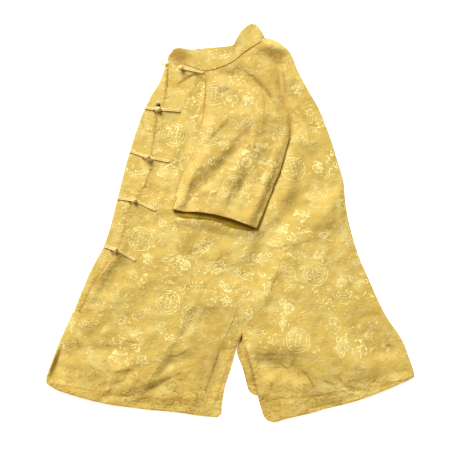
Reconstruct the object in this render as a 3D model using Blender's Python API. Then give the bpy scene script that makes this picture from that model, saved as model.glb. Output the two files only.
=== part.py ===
"""A short-sleeved shirt of silk brocade with a stand collar, laid flat on its right side.

Front and back are folded in half lengthwise, so the middle of the front is the left outline
and the middle of the back is the right one. The left raglan sleeve lies on top of the body and
the right one under it. Five corded frogs close the front, and each side has a slit at the hem.

The plan is x to the right and y up, seen from above, and z is the height off the surface that
the shirt lies on. Sizes are in millimetres until a mesh is made.
"""

import math

import bpy
import numpy as np
from mathutils import Matrix
from mathutils.geometry import delaunay_2d_cdt

MM = 0.001

# Cloth and the way its layers lie
WALL = 1.2  # thickness of the brocade with its turnings
COLLAR_WALL = 1.8  # the stand collar is interlined
SEAM_GAP = 0.3  # between two pieces that are sewn together
COLLAR_GAP = 0.6  # the collar gives up twice its share, because it bends thicker at the back
CLEAR = 0.4  # between two layers that lie on each other
LAYER = WALL + CLEAR  # from the middle of a layer to the middle of the next
BODY_RISE = 3.6  # near body above far body
FLAP_RISE = 2.0  # the underlap above the far front
BODY_LOFT = 0.8  # how much the near body puffs up away from its folds
LOFT_REACH = 40
SLEEVE_LOFT = 2.2  # how much the top of the near sleeve puffs up
SLEEVE_LOFT_REACH = 25
SLEEVE_LEAD = 40  # the near sleeve leaves the body this far above the underarm
FAR_SLOPE = 18  # the far body slides off the far sleeve over this width
FAR_MARGIN = 6
HEM_DROP = 2.4  # the near hem sinks where no far layer lies under it
HEM_DROP_REACH = 25

# Mesh sizes
EDGE_STEP = 14  # between the points of a visible edge
FAR_EDGE_STEP = 26
NEAR_STEP = 17  # between the points inside a visible layer
SLEEVE_STEP = 15
FAR_STEP = 34
BEND_FACES = 4  # across the half round of a folded edge
SEAM_ACROSS = 0.5  # a seam that runs further across a fold than this bends round with it
SEAM_BULGE = 0.5  # and there the bend is pressed this much flatter

# Frogs
CORD_RADIUS = 1.2
CORD_SPREAD = 1.1  # from the middle of a frog to the middle of each of its two cords
CORD_SIDES = 7  # faces round the outer side of one cord
KNOT_RADIUS = 4.2
NECK_RADIUS = 1.5
LOOP_RADIUS = 3.3
LOOP_CORD = 1.1

# Lines of the flat pattern as it lies. Each is a smooth curve through its rows of x and y.
LINES = {
    "opening": ((-111.5, 285), (-113, 262), (-115, 242), (-116, 224), (-121, 212), (-129, 203),
                (-135, 167), (-140, 131), (-138, 108), (-142, 96), (-151, 73), (-171, 40),
                (-183, 17), (-196, -38), (-209, -58), (-228, -83), (-241, -99), (-256, -130),
                (-269, -156)),
    "opening foot": ((-269, -156), (-278, -156)),
    "front fold": ((-114, 285), (-124, 255), (-144, 221), (-160, 185), (-172, 149), (-183, 113),
                   (-192, 78), (-202, 38), (-215, -12), (-228, -47), (-238, -65), (-254, -97),
                   (-278, -156)),
    "lower fold": ((-278, -156), (-301, -208), (-315, -244), (-325, -274), (-326, -286)),
    "front seam under": ((-270, -156), (-293, -208), (-307, -244), (-317, -274), (-318, -285)),
    "fold foot": ((-278, -156), (-270, -156)),
    "fold hem": ((-326, -286), (-318, -285)),
    "underlap": ((-82, 284), (-85, 224), (-105, 167), (-110, 131), (-121, 73), (-150, 17),
                 (-170, -40), (-205, -99), (-240, -152)),
    "underlap foot": ((-240, -152), (-278, -156)),
    "underlap neck": ((-82, 284), (-114, 285)),
    "neck gap": ((-111.5, 285), (-99, 286), (-85, 285)),
    "far neck gap": ((-114, 285), (-99, 286), (-85, 285)),
    "front neck": ((-85, 285), (-65, 277), (-46, 271)),
    "cap neck": ((-46, 271), (-24, 276), (4, 288), (29, 308), (54, 323)),
    "back neck": ((54, 323), (61, 329)),
    "collar back": ((54, 323), (58, 331)),
    "front raglan": ((-46, 271), (-45, 248), (-47, 213), (-51, 187), (-53, 171)),
    "front armhole": ((-53, 171), (-28, 149), (-1, 135), (28, 131)),
    "back raglan": ((54, 323), (67, 312), (79, 297), (83, 281), (87, 260), (90, 230), (96, 213),
                    (103, 201), (105, 181), (104, 154)),
    "back armhole": ((104, 154), (85, 142), (56, 133), (28, 131)),
    "side": ((28, 131), (37, 60), (42, -15), (35, -74), (29, -137), (21, -196)),
    "front slit": ((21, -196), (9, -228), (0, -259), (-10, -290), (-16, -324), (-19, -346)),
    "back slit": ((21, -196), (22, -213), (30, -240), (40, -271), (47, -303), (59, -343),
                  (66, -351)),
    "front hem": ((-19, -346), (-51, -343), (-94, -337), (-137, -333), (-179, -328),
                  (-222, -321), (-265, -310), (-308, -296), (-326, -286)),
    "back hem": ((66, -351), (79, -354), (99, -348), (142, -338), (185, -327), (228, -315),
                 (271, -299), (313, -281), (326, -274)),
    "back fold": ((61, 329), (74, 327), (92, 316), (104, 305), (110, 292), (117, 274),
                  (136, 238), (156, 203), (177, 149), (188, 113), (199, 76), (202, 42), (208, 6),
                  (217, -29), (229, -65), (245, -101), (261, -137), (279, -172), (303, -208),
                  (317, -244), (324, -263), (326, -274)),
    "sleeve front": ((-53, 171), (-56, 144), (-69, 110), (-81, 90), (-87, 71), (-94, 46),
                     (-102, 25)),
    "sleeve back": ((104, 154), (94, 124), (87, 97), (78, 76), (66, 44), (45, -8)),
    "cuff": ((45, -8), (8, 6), (-24, 15), (-54, 20), (-81, 21), (-102, 25)),
    "cuff under": ((45, -8), (38, -12), (22, -10), (3, -6), (-30, 6), (-63, 10), (-92, 13),
                   (-102, 25)),
    "far front slit": ((21, -196), (3, -230), (-11, -271), (-24, -310)),
    "far back slit": ((21, -196), (16, -228), (24, -255), (30, -286), (34, -305)),
    "far front hem": ((-24, -310), (-90, -313), (-162, -310), (-233, -299), (-287, -290),
                      (-318, -285)),
    "far back hem": ((34, -305), (71, -310), (124, -310), (196, -299), (267, -288), (326, -274)),
    "collar fold": ((58, 331), (51, 345), (43, 354)),
    "collar top": ((43, 354), (37, 356), (26, 349), (17, 340), (10, 328), (4, 318), (-13, 315),
                   (-47, 312), (-67, 310)),
    "collar end": ((-67, 310), (-78, 300), (-83, 292), (-85, 285)),
    "far collar end": ((-67, 310), (-83, 313), (-99, 313), (-106, 306), (-112, 297), (-114, 285)),
}
COARSE = {"far front slit", "far back slit", "far front hem", "far back hem", "underlap",
          "underlap foot", "underlap neck", "front armhole", "back armhole", "front seam under"}

# The outline of each layer, run with the cloth on its left. A minus runs a line backwards.
LAYERS = {
    "front left": ("opening", "opening foot", "lower fold", "-front hem", "-front slit",
                   "-side", "-front armhole", "-front raglan", "-front neck", "-neck gap"),
    "front left under": ("lower fold", "fold hem", "-front seam under", "-fold foot"),
    "front right": ("front fold", "fold foot", "front seam under", "-far front hem",
                    "-far front slit", "-side", "-front armhole", "-front raglan",
                    "-front neck", "-far neck gap"),
    "underlap": ("front fold", "-underlap foot", "-underlap", "underlap neck"),
    "back near": ("back raglan", "back armhole", "side", "back slit", "back hem", "-back fold",
                  "-back neck"),
    "back far": ("back raglan", "back armhole", "side", "far back slit", "far back hem",
                 "-back fold", "-back neck"),
    "sleeve top": ("front raglan", "sleeve front", "-cuff", "-sleeve back", "-back raglan",
                   "-cap neck"),
    "sleeve under": ("sleeve front", "-cuff under", "-sleeve back", "back armhole",
                     "-front armhole"),
    "collar near": ("front neck", "cap neck", "collar back", "collar fold", "collar top",
                    "collar end"),
    "collar far": ("far neck gap", "front neck", "cap neck", "collar back", "collar fold",
                   "collar top", "far collar end"),
}

# The largest folds: where each starts, bends and ends, half its width, and its rise or sink.
FOLD_COLUMNS = ("cloth", "x0", "y0", "x1", "y1", "x2", "y2", "half", "rise")
FOLDS = (
    ("body", 29, 308, 63, 308, 99, 310, 9, -1.8),
    ("body", 22, 292, 56, 247, 81, 210, 10, -1.8),
    ("body", 108, 242, 119, 217, 128, 197, 8, -1.5),
    ("body", 201, 60, 124, 15, 56, -3, 22, 1.2),
    ("body", 90, -62, 74, -115, 42, -160, 12, 1.6),
    ("body", -12, -48, -67, -108, -101, -192, 9, 1.0),
    ("body", -154, -296, -115, -276, -71, -267, 8, -1.6),
    ("body", -106, -238, -124, -260, -144, -283, 8, -1.4),
    ("body", 54, -230, 74, -235, 104, -254, 9, -1.8),
    ("body", 125, -260, 141, -288, 151, -324, 8, -1.4),
    ("body", 192, -276, 237, -263, 258, -267, 8, -1.3),
    ("sleeve", 33, 169, -15, 124, -81, 62, 11, -2.2),
    ("sleeve", 54, 238, 58, 213, 60, 172, 7, -1.0),
    ("sleeve", -26, 172, -8, 179, 21, 196, 7, -1.2),
)

# Frogs: the knot, the end of the tail on the left front, the end of the tail on the right front
FROG_COLUMNS = ("knot_x", "knot_y", "tail_x", "tail_y", "loop_x", "loop_y")
FROGS = (
    (-88, 279, -47, 265, -115, 283),
    (-128, 203, -89, 200, -153, 206),
    (-148, 118, -108, 110, -180, 129),
    (-171, 41, -132, 23, -203, 45),
    (-204, -46, -168, -66, -226, -41),
)
OPEN_LOOP_TIP = (-126, 290)  # the first frog is undone, and its loop sticks out of the outline

CLOTH_COLOUR = (0.83, 0.66, 0.27)
COLLAR_COLOUR = (0.80, 0.62, 0.24)
CORD_COLOUR = (0.78, 0.58, 0.20)


def smooth(t):
    """0 below 0, 1 above 1, and an even rise between them."""
    t = np.clip(t, 0, 1)
    return t * t * (3 - 2 * t)


def spaced(points, step):
    """Points about step apart along a polyline, its two ends kept."""
    along = np.concatenate([[0], np.cumsum(np.linalg.norm(np.diff(points, axis=0), axis=1))])
    count = max(1, round(along[-1] / step))
    at = np.linspace(0, along[-1], count + 1)
    return np.stack([np.interp(at, along, points[:, k]) for k in range(2)], axis=1)


def curve_through(rows):
    """A close polyline on the smooth curve that passes through the rows."""
    p = np.array(rows, float)
    if len(p) == 2:
        return p
    p = np.vstack([2 * p[0] - p[1], p, 2 * p[-1] - p[-2]])
    t = np.linspace(0, 1, 12, endpoint=False)[:, None]
    parts = []
    for a, b, c, d in zip(p, p[1:], p[2:], p[3:]):
        reach = np.linalg.norm(c - b)
        start = (c - a) / max(np.linalg.norm(c - a), 1e-9) * reach
        end = (d - b) / max(np.linalg.norm(d - b), 1e-9) * reach
        parts.append((2 * t**3 - 3 * t**2 + 1) * b + (t**3 - 2 * t**2 + t) * start
                     + (3 * t**2 - 2 * t**3) * c + (t**3 - t**2) * end)
    return np.vstack([*parts, p[-2:-1]])


def line(name):
    """The points of a pattern line, in the direction that its name asks for."""
    key = name.removeprefix("-")
    points = spaced(curve_through(LINES[key]), FAR_EDGE_STEP if key in COARSE else EDGE_STEP)
    return points[::-1] if name.startswith("-") else points


def outline(layer):
    """(points of a layer's closed outline, {line: its points' indices})."""
    points, lines = [], {}
    for name in LAYERS[layer]:
        part = line(name)
        start = len(points)
        points.extend(part[:-1])
        lines[name.removeprefix("-")] = list(range(start, start + len(part)))
    count = len(points)
    lines = {name: [i % count for i in found] for name, found in lines.items()}
    return np.array(points), lines


def outward(points):
    """The outward direction at each point of a closed outline."""
    after = np.roll(points, -1, 0) - points
    before = points - np.roll(points, 1, 0)
    after /= np.linalg.norm(after, axis=1, keepdims=True)
    before /= np.linalg.norm(before, axis=1, keepdims=True)
    along = after + before
    along /= np.maximum(np.linalg.norm(along, axis=1, keepdims=True), 1e-6)
    return np.stack([along[:, 1], -along[:, 0]], axis=1)


def inside_distance(points, edge):
    """How far each point is inside a closed outline, less than 0 outside it."""
    a, b = edge, np.roll(edge, -1, 0)
    d = b - a
    rel = points[:, None] - a[None]
    t = np.clip((rel * d).sum(2) / (d * d).sum(1), 0, 1)
    near = np.linalg.norm(rel - t[..., None] * d, axis=2).min(1)
    crosses = (a[:, 1] > points[:, 1, None]) != (b[:, 1] > points[:, 1, None])
    rise = np.where(np.abs(d[:, 1]) < 1e-12, 1e-12, d[:, 1])
    at = a[:, 0] + (points[:, 1, None] - a[:, 1]) / rise * d[:, 0]
    inside = (crosses & (points[:, 0, None] < at)).sum(1) % 2 == 1
    return np.where(inside, near, -near)


def folds(points, cloth):
    """The height that the folds of one cloth add at each point."""
    total = np.zeros(len(points))
    for row in FOLDS:
        fold = dict(zip(FOLD_COLUMNS, row))
        if fold["cloth"] != cloth:
            continue
        path = spaced(curve_through([(fold[f"x{k}"], fold[f"y{k}"]) for k in range(3)]), 5)
        away = np.linalg.norm(points[:, None] - path[None], axis=2)
        nearest, distance = away.argmin(1), away.min(1)
        taper = np.sin(np.pi * (nearest + 0.5) / len(path)) ** 0.6
        total += fold["rise"] * taper * (1 - smooth(distance / (1.6 * fold["half"])))
    return total


SLEEVE_PLAN = outline("sleeve under")[0]
SLEEVE_TOP_PLAN = outline("sleeve top")[0]
BODY_PLAN = np.vstack([line(n)[:-1] for n in (
    "front fold", "lower fold", "-front hem", "-front slit", "back slit", "back hem",
    "-back fold", "-back neck", "-cap neck", "-front neck", "-far neck gap")])
FAR_HEM = np.array(sorted(LINES["far front hem"] + LINES["far back hem"]), float)
UNDERARM = np.array((LINES["sleeve front"][0], LINES["sleeve back"][0]), float)


def far_body(points):
    """The far body lies on the surface, and over the far sleeve where that is under it."""
    over = inside_distance(points, SLEEVE_PLAN) + FAR_MARGIN
    return WALL / 2 + 2 * LAYER * smooth(1 + over / FAR_SLOPE)


def underlap(points):
    return far_body(points) + FLAP_RISE


def near_body(points):
    """The near body lies on the far one, with its folds, and sinks past the far hem."""
    loft = BODY_LOFT * smooth(inside_distance(points, BODY_PLAN) / LOFT_REACH)
    past = np.interp(points[:, 0], FAR_HEM[:, 0], FAR_HEM[:, 1]) - points[:, 1]
    drop = HEM_DROP * smooth(past / HEM_DROP_REACH)
    return far_body(points) + BODY_RISE + loft - drop + folds(points, "body")


def sleeve_under(points):
    return near_body(points) + LAYER


def sleeve_top(points):
    """Level with the body at the collar, and two layers and some air above it at the cuff."""
    underarm = np.interp(points[:, 0], UNDERARM[:, 0], UNDERARM[:, 1])
    share = smooth((underarm + SLEEVE_LEAD - points[:, 1]) / SLEEVE_LEAD)
    puff = SLEEVE_LOFT * smooth(inside_distance(points, SLEEVE_TOP_PLAN) / SLEEVE_LOFT_REACH)
    crease = np.maximum(folds(points, "sleeve"), -puff)
    return near_body(points) + share * (2 * LAYER + puff) + np.where(share > 0, crease, 0)


def floor_sleeve_top(points):
    return np.full(len(points), WALL / 2)


def floor_sleeve_under(points):
    return np.full(len(points), WALL / 2 + LAYER)


def collar_lift(height):
    """The collar is thicker, so its middle is a little higher than the cloth beside it."""
    return lambda points: height(points) + (COLLAR_WALL - WALL) / 2


def fold_points(cloth):
    """Rows of points along each fold, so that the mesh can follow it."""
    rows = [np.zeros((0, 2))]
    for row in FOLDS:
        fold = dict(zip(FOLD_COLUMNS, row))
        if fold["cloth"] != cloth:
            continue
        path = spaced(curve_through([(fold[f"x{k}"], fold[f"y{k}"]) for k in range(3)]), 12)
        along = np.gradient(path, axis=0)
        side = np.stack([-along[:, 1], along[:, 0]], axis=1)
        side /= np.linalg.norm(side, axis=1, keepdims=True)
        rows += [path + k * fold["half"] * side for k in (-1, 0, 1)]
    return np.vstack(rows)


def sleeve_rim_points():
    """Two rows round the far sleeve, at the head and the foot of the far body's slope."""
    plan = spaced(SLEEVE_PLAN[list(range(len(SLEEVE_PLAN))) + [0]], 12)[:-1]
    out = outward(plan)
    return np.vstack([plan + out * (FAR_MARGIN + k * FAR_SLOPE) for k in (0, 1)])


def without_crowding(points, taken, least):
    """The points that keep that distance from every taken one."""
    away = np.linalg.norm(points[:, None] - taken[None], axis=2).min(1)
    return points[away >= least]


def inner_points(edge, step, extra=None):
    """Points inside an outline: the extra ones first, then an even triangular grid."""
    extra = np.zeros((0, 2)) if extra is None else extra
    extra = extra[inside_distance(extra, edge) > 0.45 * EDGE_STEP]
    low, high = edge.min(0), edge.max(0)
    rows = np.arange(low[1], high[1], step * math.sqrt(3) / 2)
    grid = [(x + (k % 2) * step / 2, y)
            for k, y in enumerate(rows) for x in np.arange(low[0], high[0], step)]
    grid = np.array(grid)
    grid = grid[inside_distance(grid, edge) > 0.55 * step]
    if len(extra):
        grid = without_crowding(grid, extra, 0.6 * step)
    return np.vstack([extra, grid])


def bulge_directions(layer, name):
    """Where a folded edge bulges: straight out, and at its ends along the seam that meets it."""
    index, plan = layer["lines"][name], layer["plan"]
    out = layer["out"][index].copy()
    for end, beside in ((0, index[0] - 1), (-1, (index[-1] + 1) % len(plan))):
        seam = plan[index[end]] - plan[beside]
        seam /= np.linalg.norm(seam)
        if seam @ out[end] > SEAM_ACROSS:
            out[end] = seam * SEAM_BULGE
    return out


class Sheet:
    """The middle surface of one piece of cloth, made of flat layers joined by folded edges."""

    def __init__(self):
        self.points, self.faces = [], []

    def layer(self, name, height, step, up=True, extra=None, gap=SEAM_GAP):
        """Adds a layer at height(points), and returns its edge for fold()."""
        plan, lines = outline(name)
        out = outward(plan)
        edge = plan - out * gap / 2
        flat = np.vstack([edge, inner_points(edge, step, extra)])
        found = delaunay_2d_cdt([tuple(p) for p in flat], [], [list(range(len(edge)))], 1, 1e-5)
        if len(found[0]) != len(flat):
            raise ValueError(f"the outline of {name} crosses itself")
        flat, faces = np.array([tuple(p) for p in found[0]]), found[2]
        start = len(self.points)
        self.points += list(np.column_stack([flat, height(flat)]))
        self.faces += [tuple(start + i for i in (f if up else f[::-1])) for f in faces]
        return {"start": start, "lines": lines, "out": out, "plan": plan}

    def fold(self, upper, lower, name):
        """Joins the same line of two layers by a half round, bulging outward."""
        top = [upper["start"] + i for i in upper["lines"][name]]
        foot = [lower["start"] + i for i in lower["lines"][name]]
        out = np.column_stack([bulge_directions(upper, name), np.zeros(len(top))])
        a, b = (np.array([self.points[i] for i in found]) for found in (top, foot))
        middle, half = (a + b) / 2, (a - b) / 2
        bulge = out * np.abs(half[:, 2:])
        rows = [top]
        for k in range(1, BEND_FACES):
            turn = math.pi * k / BEND_FACES
            rows.append(list(range(len(self.points), len(self.points) + len(top))))
            self.points += list(middle + half * math.cos(turn) + bulge * math.sin(turn))
        rows.append(foot)
        for above, below in zip(rows, rows[1:]):
            for i in range(len(top) - 1):
                self.faces.append((above[i + 1], above[i], below[i], below[i + 1]))

    def wall(self, thickness):
        """(points, faces) of the closed wall round this surface, no lower than the floor."""
        p = np.array(self.points)
        normal = np.zeros_like(p)
        for face in self.faces:
            a, b, c = p[face[0]], p[face[1]], p[face[2]]
            across = np.cross(b - a, c - a)
            if len(face) == 4:
                across = across + np.cross(c - a, p[face[3]] - a)
            normal[list(face)] += across / max(math.sqrt(np.linalg.norm(across)), 1e-9)
        normal /= np.linalg.norm(normal, axis=1, keepdims=True)
        points = np.vstack([p + normal * thickness / 2, p - normal * thickness / 2])
        points[:, 2] = np.maximum(points[:, 2], 0)
        count = len(p)
        faces = list(self.faces) + [tuple(i + count for i in f[::-1]) for f in self.faces]
        sides = {(f[i], f[(i + 1) % len(f)]) for f in self.faces for i in range(len(f))}
        faces += [(b, a, a + count, b + count) for a, b in sorted(sides) if (b, a) not in sides]
        return points, faces


def material(name, colour, roughness):
    found = bpy.data.materials.new(name)
    found.use_nodes = True
    shader = found.node_tree.nodes["Principled BSDF"]
    shader.inputs["Base Color"].default_value = (*colour, 1)
    shader.inputs["Roughness"].default_value = roughness
    shader.inputs["Metallic"].default_value = 0
    found.diffuse_color = (*colour, 1)
    return found


def add_object(name, points, faces, colour, roughness, smooth_angle=50):
    mesh = bpy.data.meshes.new(name)
    mesh.from_pydata([tuple(p * MM) for p in np.asarray(points, float)], [], faces)
    mesh.validate()
    mesh.shade_smooth()
    mesh.set_sharp_from_angle(angle=math.radians(smooth_angle))
    mesh.materials.append(material(name, colour, roughness))
    made = bpy.data.objects.new(name, mesh)
    bpy.context.scene.collection.objects.link(made)
    return made


def front_left():
    sheet = Sheet()
    near = sheet.layer("front left", near_body, NEAR_STEP, extra=fold_points("body"))
    under = sheet.layer("front left under", far_body, FAR_STEP, up=False)
    sheet.fold(near, under, "lower fold")
    return sheet


def front_right():
    sheet = Sheet()
    flap = sheet.layer("underlap", underlap, FAR_STEP)
    rim = sleeve_rim_points()
    far = sheet.layer("front right", far_body, FAR_STEP, up=False, extra=rim)
    sheet.fold(flap, far, "front fold")
    return sheet


def back():
    sheet = Sheet()
    near = sheet.layer("back near", near_body, NEAR_STEP, extra=fold_points("body"))
    rim = sleeve_rim_points()
    far = sheet.layer("back far", far_body, FAR_STEP, up=False, extra=rim)
    sheet.fold(near, far, "back fold")
    return sheet


def sleeve_left():
    sheet = Sheet()
    top = sheet.layer("sleeve top", sleeve_top, SLEEVE_STEP, extra=fold_points("sleeve"))
    under = sheet.layer("sleeve under", sleeve_under, FAR_STEP, up=False)
    for name in ("sleeve front", "sleeve back"):
        sheet.fold(top, under, name)
    return sheet


def sleeve_right():
    """The right sleeve is the left one's mirror, so its inner layer is the upper one here."""
    sheet = Sheet()
    under = sheet.layer("sleeve under", floor_sleeve_under, FAR_STEP)
    top = sheet.layer("sleeve top", floor_sleeve_top, FAR_STEP, up=False)
    for name in ("sleeve front", "sleeve back"):
        sheet.fold(under, top, name)
    return sheet


def collar():
    sheet = Sheet()
    near = sheet.layer("collar near", collar_lift(near_body), EDGE_STEP, gap=COLLAR_GAP)
    far = sheet.layer("collar far", collar_lift(far_body), FAR_STEP, up=False, gap=COLLAR_GAP)
    sheet.fold(near, far, "collar fold")
    return sheet


def double_cord_section():
    """The outline of two cords side by side, touching, as (across, up) pairs."""
    notch = math.acos(CORD_SPREAD / CORD_RADIUS)
    turns = np.linspace(-(math.pi - notch), math.pi - notch, CORD_SIDES)
    right = [(CORD_SPREAD + CORD_RADIUS * math.cos(t), CORD_RADIUS * math.sin(t)) for t in turns]
    left = [(-x, -z) for x, z in right]
    return right[:-1] + left[:-1]


def swept(path, section):
    """(points, faces) of a section swept along a path of x, y, z rows, with flat ends."""
    path = np.asarray(path, float)
    along = np.gradient(path, axis=0)
    side = np.stack([along[:, 1], -along[:, 0], np.zeros(len(path))], axis=1)
    side /= np.linalg.norm(side, axis=1, keepdims=True)
    above = np.cross(side, along)
    above /= np.linalg.norm(above, axis=1, keepdims=True)
    rings = [p + x * s + z * u for p, s, u in zip(path, side, above) for x, z in section]
    n = len(section)
    faces = [tuple(range(n))[::-1], tuple(range(len(rings) - n, len(rings)))]
    for k in range(len(path) - 1):
        for i in range(n):
            j = (i + 1) % n
            faces.append((k * n + i, k * n + j, (k + 1) * n + j, (k + 1) * n + i))
    return np.array(rings), faces


def ring(centre, reach, radius, toward, stretch=1.0, turns=16, sides=6):
    """A cord's closed loop round a point, drawn out along a direction."""
    points, faces = [], []
    across = np.array((-toward[1], toward[0]))
    for i in range(turns):
        a = 2 * math.pi * i / turns
        out = stretch * math.cos(a) * toward + math.sin(a) * across
        for k in range(sides):
            b = 2 * math.pi * k / sides
            flat = (reach + radius * math.cos(b)) * out
            points.append((*(centre[:2] + flat), centre[2] + radius * math.sin(b)))
            n, m = (i + 1) % turns, (k + 1) % sides
            faces.append((i * sides + k, n * sides + k, n * sides + m, i * sides + m))
    return np.array(points), faces


def ball(centre, radius, columns=12, rows=8):
    points = [(0, 0, -radius), (0, 0, radius)]
    for k in range(1, rows):
        tilt = math.pi * k / rows
        points += [(radius * math.sin(tilt) * math.cos(2 * math.pi * i / columns),
                    radius * math.sin(tilt) * math.sin(2 * math.pi * i / columns),
                    -radius * math.cos(tilt)) for i in range(columns)]
    faces = []
    last = 2 + (rows - 2) * columns
    for i in range(columns):
        j = (i + 1) % columns
        faces += [(0, 2 + j, 2 + i), (1, last + i, last + j)]
        for k in range(rows - 2):
            low = 2 + k * columns
            faces.append((low + i, low + j, low + columns + j, low + columns + i))
    return np.array(points) + centre, faces


def post(foot, head, radius, sides=8):
    """An upright round bar between two points."""
    turns = [2 * math.pi * k / sides for k in range(sides)]
    points = [(foot[0] + radius * math.cos(t), foot[1] + radius * math.sin(t), z)
              for z in (foot[2], head[2]) for t in turns]
    faces = [tuple(range(sides))[::-1], tuple(range(sides, 2 * sides))]
    faces += [(i, (i + 1) % sides, sides + (i + 1) % sides, sides + i) for i in range(sides)]
    return np.array(points), faces


def united(name, shapes):
    """One closed body out of shapes that run into each other."""
    base = add_object(name, *shapes[0], CORD_COLOUR, 0.5)
    for k, (points, faces) in enumerate(shapes[1:]):
        helper = add_object(f"{name}_helper_{k}", points, faces, CORD_COLOUR, 0.5)
        helper.hide_render = True
        helper.display_type = "WIRE"
        union = base.modifiers.new(f"union {k}", "BOOLEAN")
        union.operation = "UNION"
        union.solver = "EXACT"
        union.object = helper
    return base


def on(height, place, above):
    """The place as x, y, z, that far above the outer face of a layer of cloth."""
    flat = np.array([place[:2]], float)
    return np.array((*flat[0], float(height(flat)[0]) + WALL / 2 + SEAM_GAP + above))


def frog_knot(number, frog):
    """Two cords sewn down side by side from the tail to the knot, which stands on a neck."""
    knot, tail = (np.array((frog[f"{k}_x"], frog[f"{k}_y"]), float) for k in ("knot", "tail"))
    cloth = [on(near_body, tail + (knot - tail) * t, CORD_RADIUS) for t in np.linspace(0, 1, 6)]
    level = max(p[2] for p in cloth[-2:])
    foot = np.array((*knot, level))
    cloth[-1] = foot
    middle = foot + (0, 0, knot_height())
    united(f"frog_knot_{number}", (swept(cloth, double_cord_section()),
                                   post(foot - (0, 0, CORD_RADIUS / 2), middle, NECK_RADIUS),
                                   ball(middle, KNOT_RADIUS)))


def loop_height():
    """From the middle of the tail on the left front up to the middle of the loop over it."""
    return CORD_RADIUS + SEAM_GAP + LOOP_CORD


def knot_height():
    """From the middle of the tail up to the middle of the knot, which sits on the loop."""
    reach = KNOT_RADIUS + SEAM_GAP + LOOP_CORD
    return loop_height() + math.sqrt(reach**2 - LOOP_RADIUS**2)


def frog_loop(number, frog):
    """Two cords from the tail on the right front, parting into a loop round the neck."""
    knot, tail = (np.array((frog[f"{k}_x"], frog[f"{k}_y"]), float) for k in ("knot", "loop"))
    toward = (tail - knot) / np.linalg.norm(tail - knot)
    knot_tail = np.array((frog["tail_x"], frog["tail_y"]), float)
    level = max(on(near_body, knot + (knot_tail - knot) * t, CORD_RADIUS)[2] for t in (0, 0.2))
    centre = np.array((*knot, level + loop_height()))
    reach = np.linalg.norm(tail - knot)
    rise_from = LOOP_RADIUS + 9
    path = []
    for distance in (reach, (reach + rise_from) / 2, rise_from, LOOP_RADIUS + 4, LOOP_RADIUS):
        place = on(underlap, knot + toward * distance, CORD_RADIUS)
        share = smooth((rise_from - distance) / 5)
        place[2] += share * (centre[2] - place[2])
        path.append(place)
    united(f"frog_loop_{number}", (swept(path, double_cord_section()),
                                   ring(centre, LOOP_RADIUS, LOOP_CORD, toward)))


def open_loop(number, frog):
    """The undone loop: a drawn-out ring of cord, sewn at the fold of the right front."""
    tip = np.array(OPEN_LOOP_TIP, float)
    tail = np.array((frog["loop_x"], frog["loop_y"]), float)
    toward = (tip - tail) / np.linalg.norm(tip - tail)
    middle = (tip + tail) / 2
    centre = on(underlap, middle, LOOP_CORD)
    long_reach = np.linalg.norm(tip - tail) / 2
    points, faces = ring(centre, 2.6, LOOP_CORD, toward, stretch=long_reach / 2.6)
    add_object(f"frog_loop_{number}", points, faces, CORD_COLOUR, 0.5)


def centre_on_origin():
    """Moves every mesh so that the origin is under the middle of the shirt."""
    corners = np.array([v.co for o in bpy.data.objects for v in o.data.vertices])
    middle = (corners.min(0) + corners.max(0)) / 2
    for found in bpy.data.objects:
        found.data.transform(Matrix.Translation((-middle[0], -middle[1], 0)))


def main():
    for found in list(bpy.data.objects):
        bpy.data.objects.remove(found, do_unlink=True)
    for make in (front_left, front_right, back, sleeve_left, sleeve_right):
        add_object(make.__name__, *make().wall(WALL), CLOTH_COLOUR, 0.45)
    add_object("collar", *collar().wall(COLLAR_WALL), COLLAR_COLOUR, 0.45)
    for number, row in enumerate(FROGS, 1):
        frog = dict(zip(FROG_COLUMNS, row))
        frog_knot(number, frog)
        (open_loop if number == 1 else frog_loop)(number, frog)
    centre_on_origin()


main()
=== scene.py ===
"""The looks of a short-sleeved shirt of golden silk brocade that lies flat on its right side.

Every piece of cloth becomes a thin shell with its folds, and every frog two rolled cords with a
plaited knot. The plan is x to the right and y up, seen from above, and z is the height off the
floor. Sizes are in millimetres until a mesh is made.
"""

import math

import bpy
import numpy as np
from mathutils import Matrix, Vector
from mathutils.geometry import delaunay_2d_cdt
from mathutils.kdtree import KDTree


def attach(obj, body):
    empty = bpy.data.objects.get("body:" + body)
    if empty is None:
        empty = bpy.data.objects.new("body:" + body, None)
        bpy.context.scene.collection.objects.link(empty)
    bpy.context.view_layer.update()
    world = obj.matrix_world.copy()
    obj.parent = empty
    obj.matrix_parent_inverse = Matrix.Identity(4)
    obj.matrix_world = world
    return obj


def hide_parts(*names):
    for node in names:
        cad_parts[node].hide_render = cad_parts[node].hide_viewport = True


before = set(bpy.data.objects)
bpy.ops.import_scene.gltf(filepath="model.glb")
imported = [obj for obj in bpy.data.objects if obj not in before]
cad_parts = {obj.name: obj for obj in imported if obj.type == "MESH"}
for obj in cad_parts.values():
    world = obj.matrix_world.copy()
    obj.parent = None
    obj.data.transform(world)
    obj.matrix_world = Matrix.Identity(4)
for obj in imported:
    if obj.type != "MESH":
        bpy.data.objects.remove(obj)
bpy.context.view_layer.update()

MM = 0.001
PLAN_MIDDLE = np.array((0.0, 1.082))  # the frame's origin lies under this place of the plan

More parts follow.
